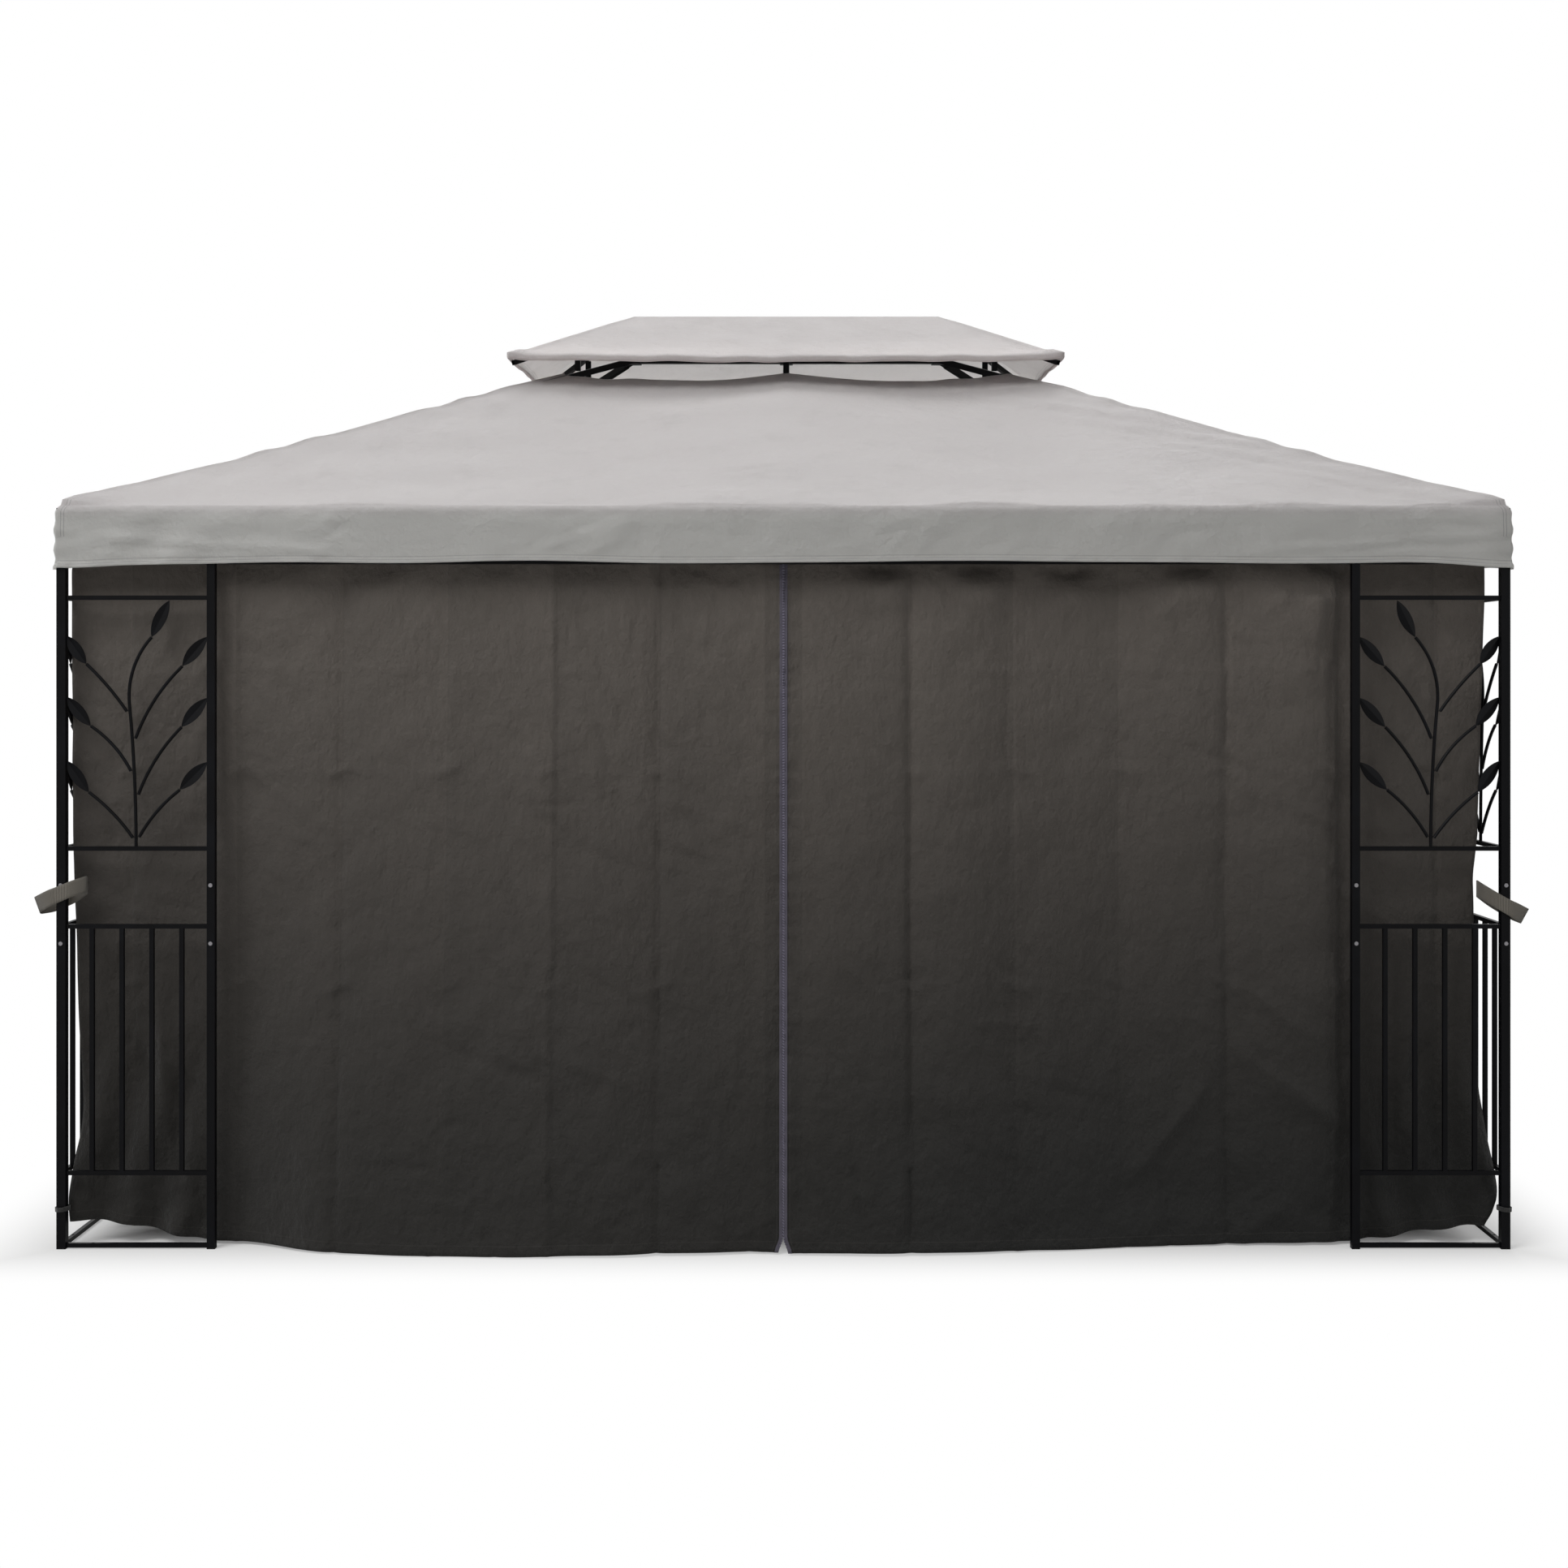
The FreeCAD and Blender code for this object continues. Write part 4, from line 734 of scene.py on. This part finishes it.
def curtain(side, half, seed):
    """One curtain half as a sheet over (distance from the zip, height)."""
    node = f"curtain_{side}_{half}"
    axis, sign = SIDES[side]
    low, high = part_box(node)
    toward = -1 if half in ("left", "front") else 1
    lead = min(abs(low[axis]), abs(high[axis]))
    width = max(abs(low[axis]), abs(high[axis]))
    plane = abs(low[1 - axis] + high[1 - axis]) / 2
    top = high.z - 0.0207
    fine = side == "front"
    columns = 196 if fine else int(width / 0.0125)
    rows = 170 if fine else 130
    across, up = np.meshgrid(np.linspace(0, 1, columns), np.linspace(0, 1, rows))
    z = up * top
    reach = outer_edge(side, half, width, z)
    u = lead + across * (reach - lead)
    hem = hem_height(side, half, u)
    z = hem + up * (top - hem)
    z = z - 0.006 * np.sin(math.pi * (u - RING_FIRST) / RING_PITCH) ** 2 * up**20
    depth = front_depth(half, u, z) if fine else side_depth(seed, u, z, width)
    held_in = soft(1.95, 1.86, z)
    depth = np.where(z > 1.8, np.clip(depth, -0.04, 0.011 + 0.2 * (1.888 - np.minimum(z, 1.888))), depth)
    depth = depth * (0.25 + 0.75 * held_in)
    if axis == 0:
        depth = np.minimum(depth, 0.028 + 0.2 * soft(1.555, 1.47, u))
    else:
        depth = np.minimum(depth, 0.02 + 0.03 * soft(1.06, 0.98, u))
    depth = np.maximum(depth, -0.06)
    gape = 0.014 * soft(0.05, 0.0, z) * hump(u, lead, 0.05)
    points = on_side(side, toward * (u + gape), plane + depth, z)
    uv = np.stack([u - lead, z - hem], -1)
    flip = (toward > 0) == (sign < 0)
    if axis == 1:
        flip = not flip
    piece = sheet_piece(
        f"{side}_{half}_curtain", points, uv, CURTAIN, flip=not flip, thickness=CLOTH, slot="curtain_cloth"
    )
    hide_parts(node)
    joint = next(j for j in frame["joints"] if j["child"] == node)
    # The front halves billow. Where they would gather (beside the inner post; the others behind the trellis)
    # and the share of cloth kept when open are worked out here but not applied.
    gather_at = 1.55 if fine else width
    toward * gather_at
    1 - axis
    keep = 1 - joint["range_m"][1] / (gather_at - lead)
    rings = curtain_rings(side, half, toward, plane, width, top)
    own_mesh(piece)
    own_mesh(rings)
    zip_half(side, half, toward, plane, lead, points, node)
    return piece


def curtain_rings(side, half, toward, plane, width, top):
    """The rings of one half, one torus below the rail at each hook, all in one piece."""
    count = int((width - RING_FIRST) // RING_PITCH) + 1
    round_steps, wire_steps = 20, 8
    turn, roll = np.meshgrid(
        np.arange(round_steps) * TAU / round_steps, np.arange(wire_steps) * TAU / wire_steps, indexing="ij"
    )
    spread = 0.009 + 0.0012 * np.cos(roll)
    ring_height = 1.9365
    all_points, all_faces = [], []
    for number in range(count):
        along = toward * (RING_FIRST + RING_PITCH * number) + 0.0012 * np.sin(roll)
        points = on_side(side, along, plane + spread * np.cos(turn), ring_height + spread * np.sin(turn))
        row, column = np.meshgrid(np.arange(round_steps), np.arange(wire_steps), indexing="ij")
        after, beside = (row + 1) % round_steps, (column + 1) % wire_steps
        base = number * round_steps * wire_steps
        quads = [row * wire_steps + column, after * wire_steps + column]
        quads += [after * wire_steps + beside, row * wire_steps + beside]
        all_points.append(points.reshape(-1, 3))
        all_faces.append(np.stack(quads, -1).reshape(-1, 4) + base)
    piece = mesh_piece(
        f"{side}_{half}_rings", np.concatenate(all_points), np.concatenate(all_faces), ZINC, slot="rail_steel"
    )
    return piece


def ribbon(path, across, width):
    """A strip of the given width about a path: its two edges and three lines between."""
    shares = np.linspace(-0.5, 0.5, 5)[:, None, None]
    return path[None] + shares * width * across


def zip_half(side, half, toward, plane, lead, points, body):
    """Half a zip: a tape over the curtain's leading edge and a row of teeth in the opening."""
    edge = points[:, 0]
    _, sign = SIDES[side]
    axis = SIDES[side][0]
    out = np.zeros(3)
    out[1 - axis] = sign
    along = np.zeros(3)
    along[axis] = toward
    path = edge + out * 0.0016 + along * 0.0035
    strip = ribbon(path, along, 0.011)
    length = np.concatenate([[0], np.cumsum(np.linalg.norm(np.diff(edge, axis=0), axis=1))])
    uv = np.stack(np.broadcast_arrays(np.linspace(0, 0.011, 5)[:, None], length[None]), -1)
    tape = sheet_piece(
        f"{side}_{half}_zip_tape", strip, uv, TAPE, thickness=0.0006, body=body, slot="curtain_cloth"
    )
    pitch = 0.008
    count = int(length[-1] / pitch)
    stations = np.linspace(0.02, length[-1] - 0.01, count)
    spots = np.stack([np.interp(stations, length, edge[:, k]) for k in range(3)], -1)
    corners = np.array([(a, b, c) for a in (-1, 1) for b in (-1, 1) for c in (-1, 1)], float)
    box = (
        spots[:, None, :]
        + corners[None, :, :1] * along * 0.0016
        - along * 0.0006
        + out * (0.0022 + corners[None, :, 1:2] * 0.0012)
        + corners[None, :, 2:] * np.array([0, 0, 0.0026])
    )
    cube = np.array([(0, 1, 3, 2), (4, 6, 7, 5), (0, 4, 5, 1), (2, 3, 7, 6), (0, 2, 6, 4), (1, 5, 7, 3)])
    faces = (cube[None] + 8 * np.arange(count)[:, None, None]).reshape(-1, 4)
    if toward * sign * (1 if axis == 0 else -1) < 0:
        faces = faces[:, ::-1]
    mesh_piece(f"{side}_{half}_zip_teeth", box.reshape(-1, 3), faces, TEETH, body=body, slot="curtain_cloth")
    return tape


for number, (side, halves) in enumerate(
    (("front", ("left", "right")), ("back", ("left", "right")), ("left", ("front", "back")), ("right", ("front", "back")))
):
    for place, half in enumerate(halves):
        curtain(side, half, 300 + 40 * number + 20 * place)

# ------------------------------------------------------------------ tie straps

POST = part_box("corner_post_front_right")
POST_CENTRE = (POST[0] + POST[1]) / 2
POST_HALF = (POST[1].x - POST[0].x) / 2


def strap_loop(name, sign_x, sign_y, height, inner, reach, lean, twist, tip, wide, finish):
    """A closed loop of webbing round a corner post: a stadium in plan, leaning down outwards.

    The loop's height falls with the distance from the curtain, and its band twists a little.
    """
    turn = np.linspace(0, TAU, 73)[:-1]
    half = POST_HALF + 0.004
    middle, stretch = (reach + inner) / 2, (reach - inner) / 2
    square = np.sign(np.cos(turn)) * np.abs(np.cos(turn)) ** 0.55
    x = middle + stretch * square
    y = (half + 0.003) * np.sign(np.sin(turn)) * np.abs(np.sin(turn)) ** 0.6
    y = y * (0.55 + 0.45 * soft(reach, 0.3 * reach, x) * soft(inner, 0.3 * inner, x))
    z = height - lean * (x - inner) * (1.25 - 0.25 * (x - inner) / (reach - inner))
    z = z - tip * y
    band = np.linspace(-0.5, 0.5, 7)[:, None] * wide
    tilt = twist * soft(0, reach, x)
    points = np.stack(
        [
            sign_x * (POST_CENTRE.x + x[None] + band * np.sin(tilt)[None]),
            sign_y * (POST_CENTRE.y + y[None] + 0 * band),
            z[None] + band * np.cos(tilt)[None],
        ],
        -1,
    )
    run = np.concatenate([turn, [TAU]]) * stretch
    uv = np.stack(np.broadcast_arrays(band, run[None]), -1)
    return sheet_piece(
        name, points, uv, finish, ring=True, flip=sign_x * sign_y < 0, thickness=0.002, slot="strap_cloth"
    )


straps = []
for corner_x, sign_x in (("left", -1), ("right", 1)):
    for corner_y, sign_y in (("front", -1), ("back", 1)):
        name = f"strap_{corner_y}_{corner_x}"
        shape = (1.0, -0.068, 0.068, 0.42, 0.35, 0.5) if sign_x < 0 else (0.99, -0.076, 0.055, 0.58, 0.5, 0.1)
        straps.append(strap_loop("upper_" + name, sign_x, sign_y, *shape, 0.045, STRAP))
        shape = (0.112, -0.02, 0.018, 0.1, 0.05, 0.0)
        straps.append(strap_loop("lower_" + name, sign_x, sign_y, *shape, 0.012, HOOK_PATCH))
for strap in straps:
    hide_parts("tie_straps")

# ------------------------------------------------------------------ floor, light and camera


def floor():
    """A pale floor that melts into a white surround a few metres out."""
    mesh = bpy.data.meshes.new("floor")
    mesh.from_pydata([(-60, -30, 0), (60, -30, 0), (60, 90, 0), (-60, 90, 0)], [], [(0, 1, 2, 3)])
    piece = bpy.data.objects.new("floor", mesh)
    bpy.context.scene.collection.objects.link(piece)
    made = Finish("pale_floor", 0.9)
    made.colour(linear(240, 240, 239))
    across, deep, _ = made.split(made.place())
    beside = made.math("ABSOLUTE", across) - EAVE.x
    before = made.math("ABSOLUTE", deep) - EAVE.y
    spread = made.math("MAXIMUM", beside, before)
    seen = made.node("ShaderNodeLightPath", "Is Camera Ray")
    glow = made.nodes.new("ShaderNodeEmission")
    mix = made.nodes.new("ShaderNodeMixShader")
    made.put(mix.inputs[0], made.clamp(spread, -0.25, 0.35) * seen)
    made.links.new(made.shader.outputs[0], mix.inputs[1])
    made.links.new(glow.outputs[0], mix.inputs[2])
    made.links.new(mix.outputs[0], made.nodes["Material Output"].inputs[0])
    piece.data.materials.append(made.material)


def surround():
    """A soft grey sky light that the camera, gloss and glass see as white."""
    world = bpy.data.worlds.new("surround")
    bpy.context.scene.world = world
    world.use_nodes = True
    nodes, links = world.node_tree.nodes, world.node_tree.links
    path = nodes.new("ShaderNodeLightPath")
    light = nodes["Background"]
    light.inputs[0].default_value = (1.0, 0.985, 0.975, 1)
    light.inputs[1].default_value = 0.185
    white = nodes.new("ShaderNodeBackground")
    white.inputs[0].default_value = (1, 1, 1, 1)
    white.inputs[1].default_value = 1.0
    first = nodes.new("ShaderNodeMath")
    first.operation = "MAXIMUM"
    second = nodes.new("ShaderNodeMath")
    second.operation = "MAXIMUM"
    links.new(path.outputs["Is Camera Ray"], first.inputs[0])
    links.new(path.outputs["Is Glossy Ray"], first.inputs[1])
    links.new(first.outputs[0], second.inputs[0])
    links.new(path.outputs["Is Transmission Ray"], second.inputs[1])
    mix = nodes.new("ShaderNodeMixShader")
    links.new(second.outputs[0], mix.inputs[0])
    links.new(light.outputs[0], mix.inputs[1])
    links.new(white.outputs[0], mix.inputs[2])
    links.new(mix.outputs[0], nodes["World Output"].inputs[0])


def lamp(name, place, aim, size, power):
    """A square soft box that faces a point."""
    light = bpy.data.lights.new(name, "AREA")
    light.shape = "SQUARE"
    light.size = size
    light.energy = power
    piece = bpy.data.objects.new(name, light)
    piece.location = place
    piece.rotation_euler = (Vector(aim) - Vector(place)).to_track_quat("-Z", "Y").to_euler()
    bpy.context.scene.collection.objects.link(piece)


def camera():
    """A level camera at eye height before the long front side."""
    lens = bpy.data.cameras.new("camera")
    lens.lens = 48.52
    lens.sensor_width = 36
    lens.shift_x = -0.0089
    lens.shift_y = -0.065
    piece = bpy.data.objects.new("camera", lens)
    piece.location = (0.04, -7.3, 1.558)
    piece.rotation_euler = (math.pi / 2, 0, 0)
    bpy.context.scene.collection.objects.link(piece)
    bpy.context.scene.camera = piece


floor()
surround()
lamp("key", (-4.5, -6.0, 8.5), (0, 0, 1.4), 5.0, 545)
lamp("top", (1.0, 1.0, 9.5), (0, 0, 1.4), 5.0, 245)
lamp("fill", (6.5, -5.0, 4.0), (0, 0, 1.4), 4.0, 26)
lamp("back", (2.0, 8.0, 6.0), (0, 0, 1.6), 4.0, 135)
camera()
bpy.context.scene.view_settings.view_transform = "Standard"
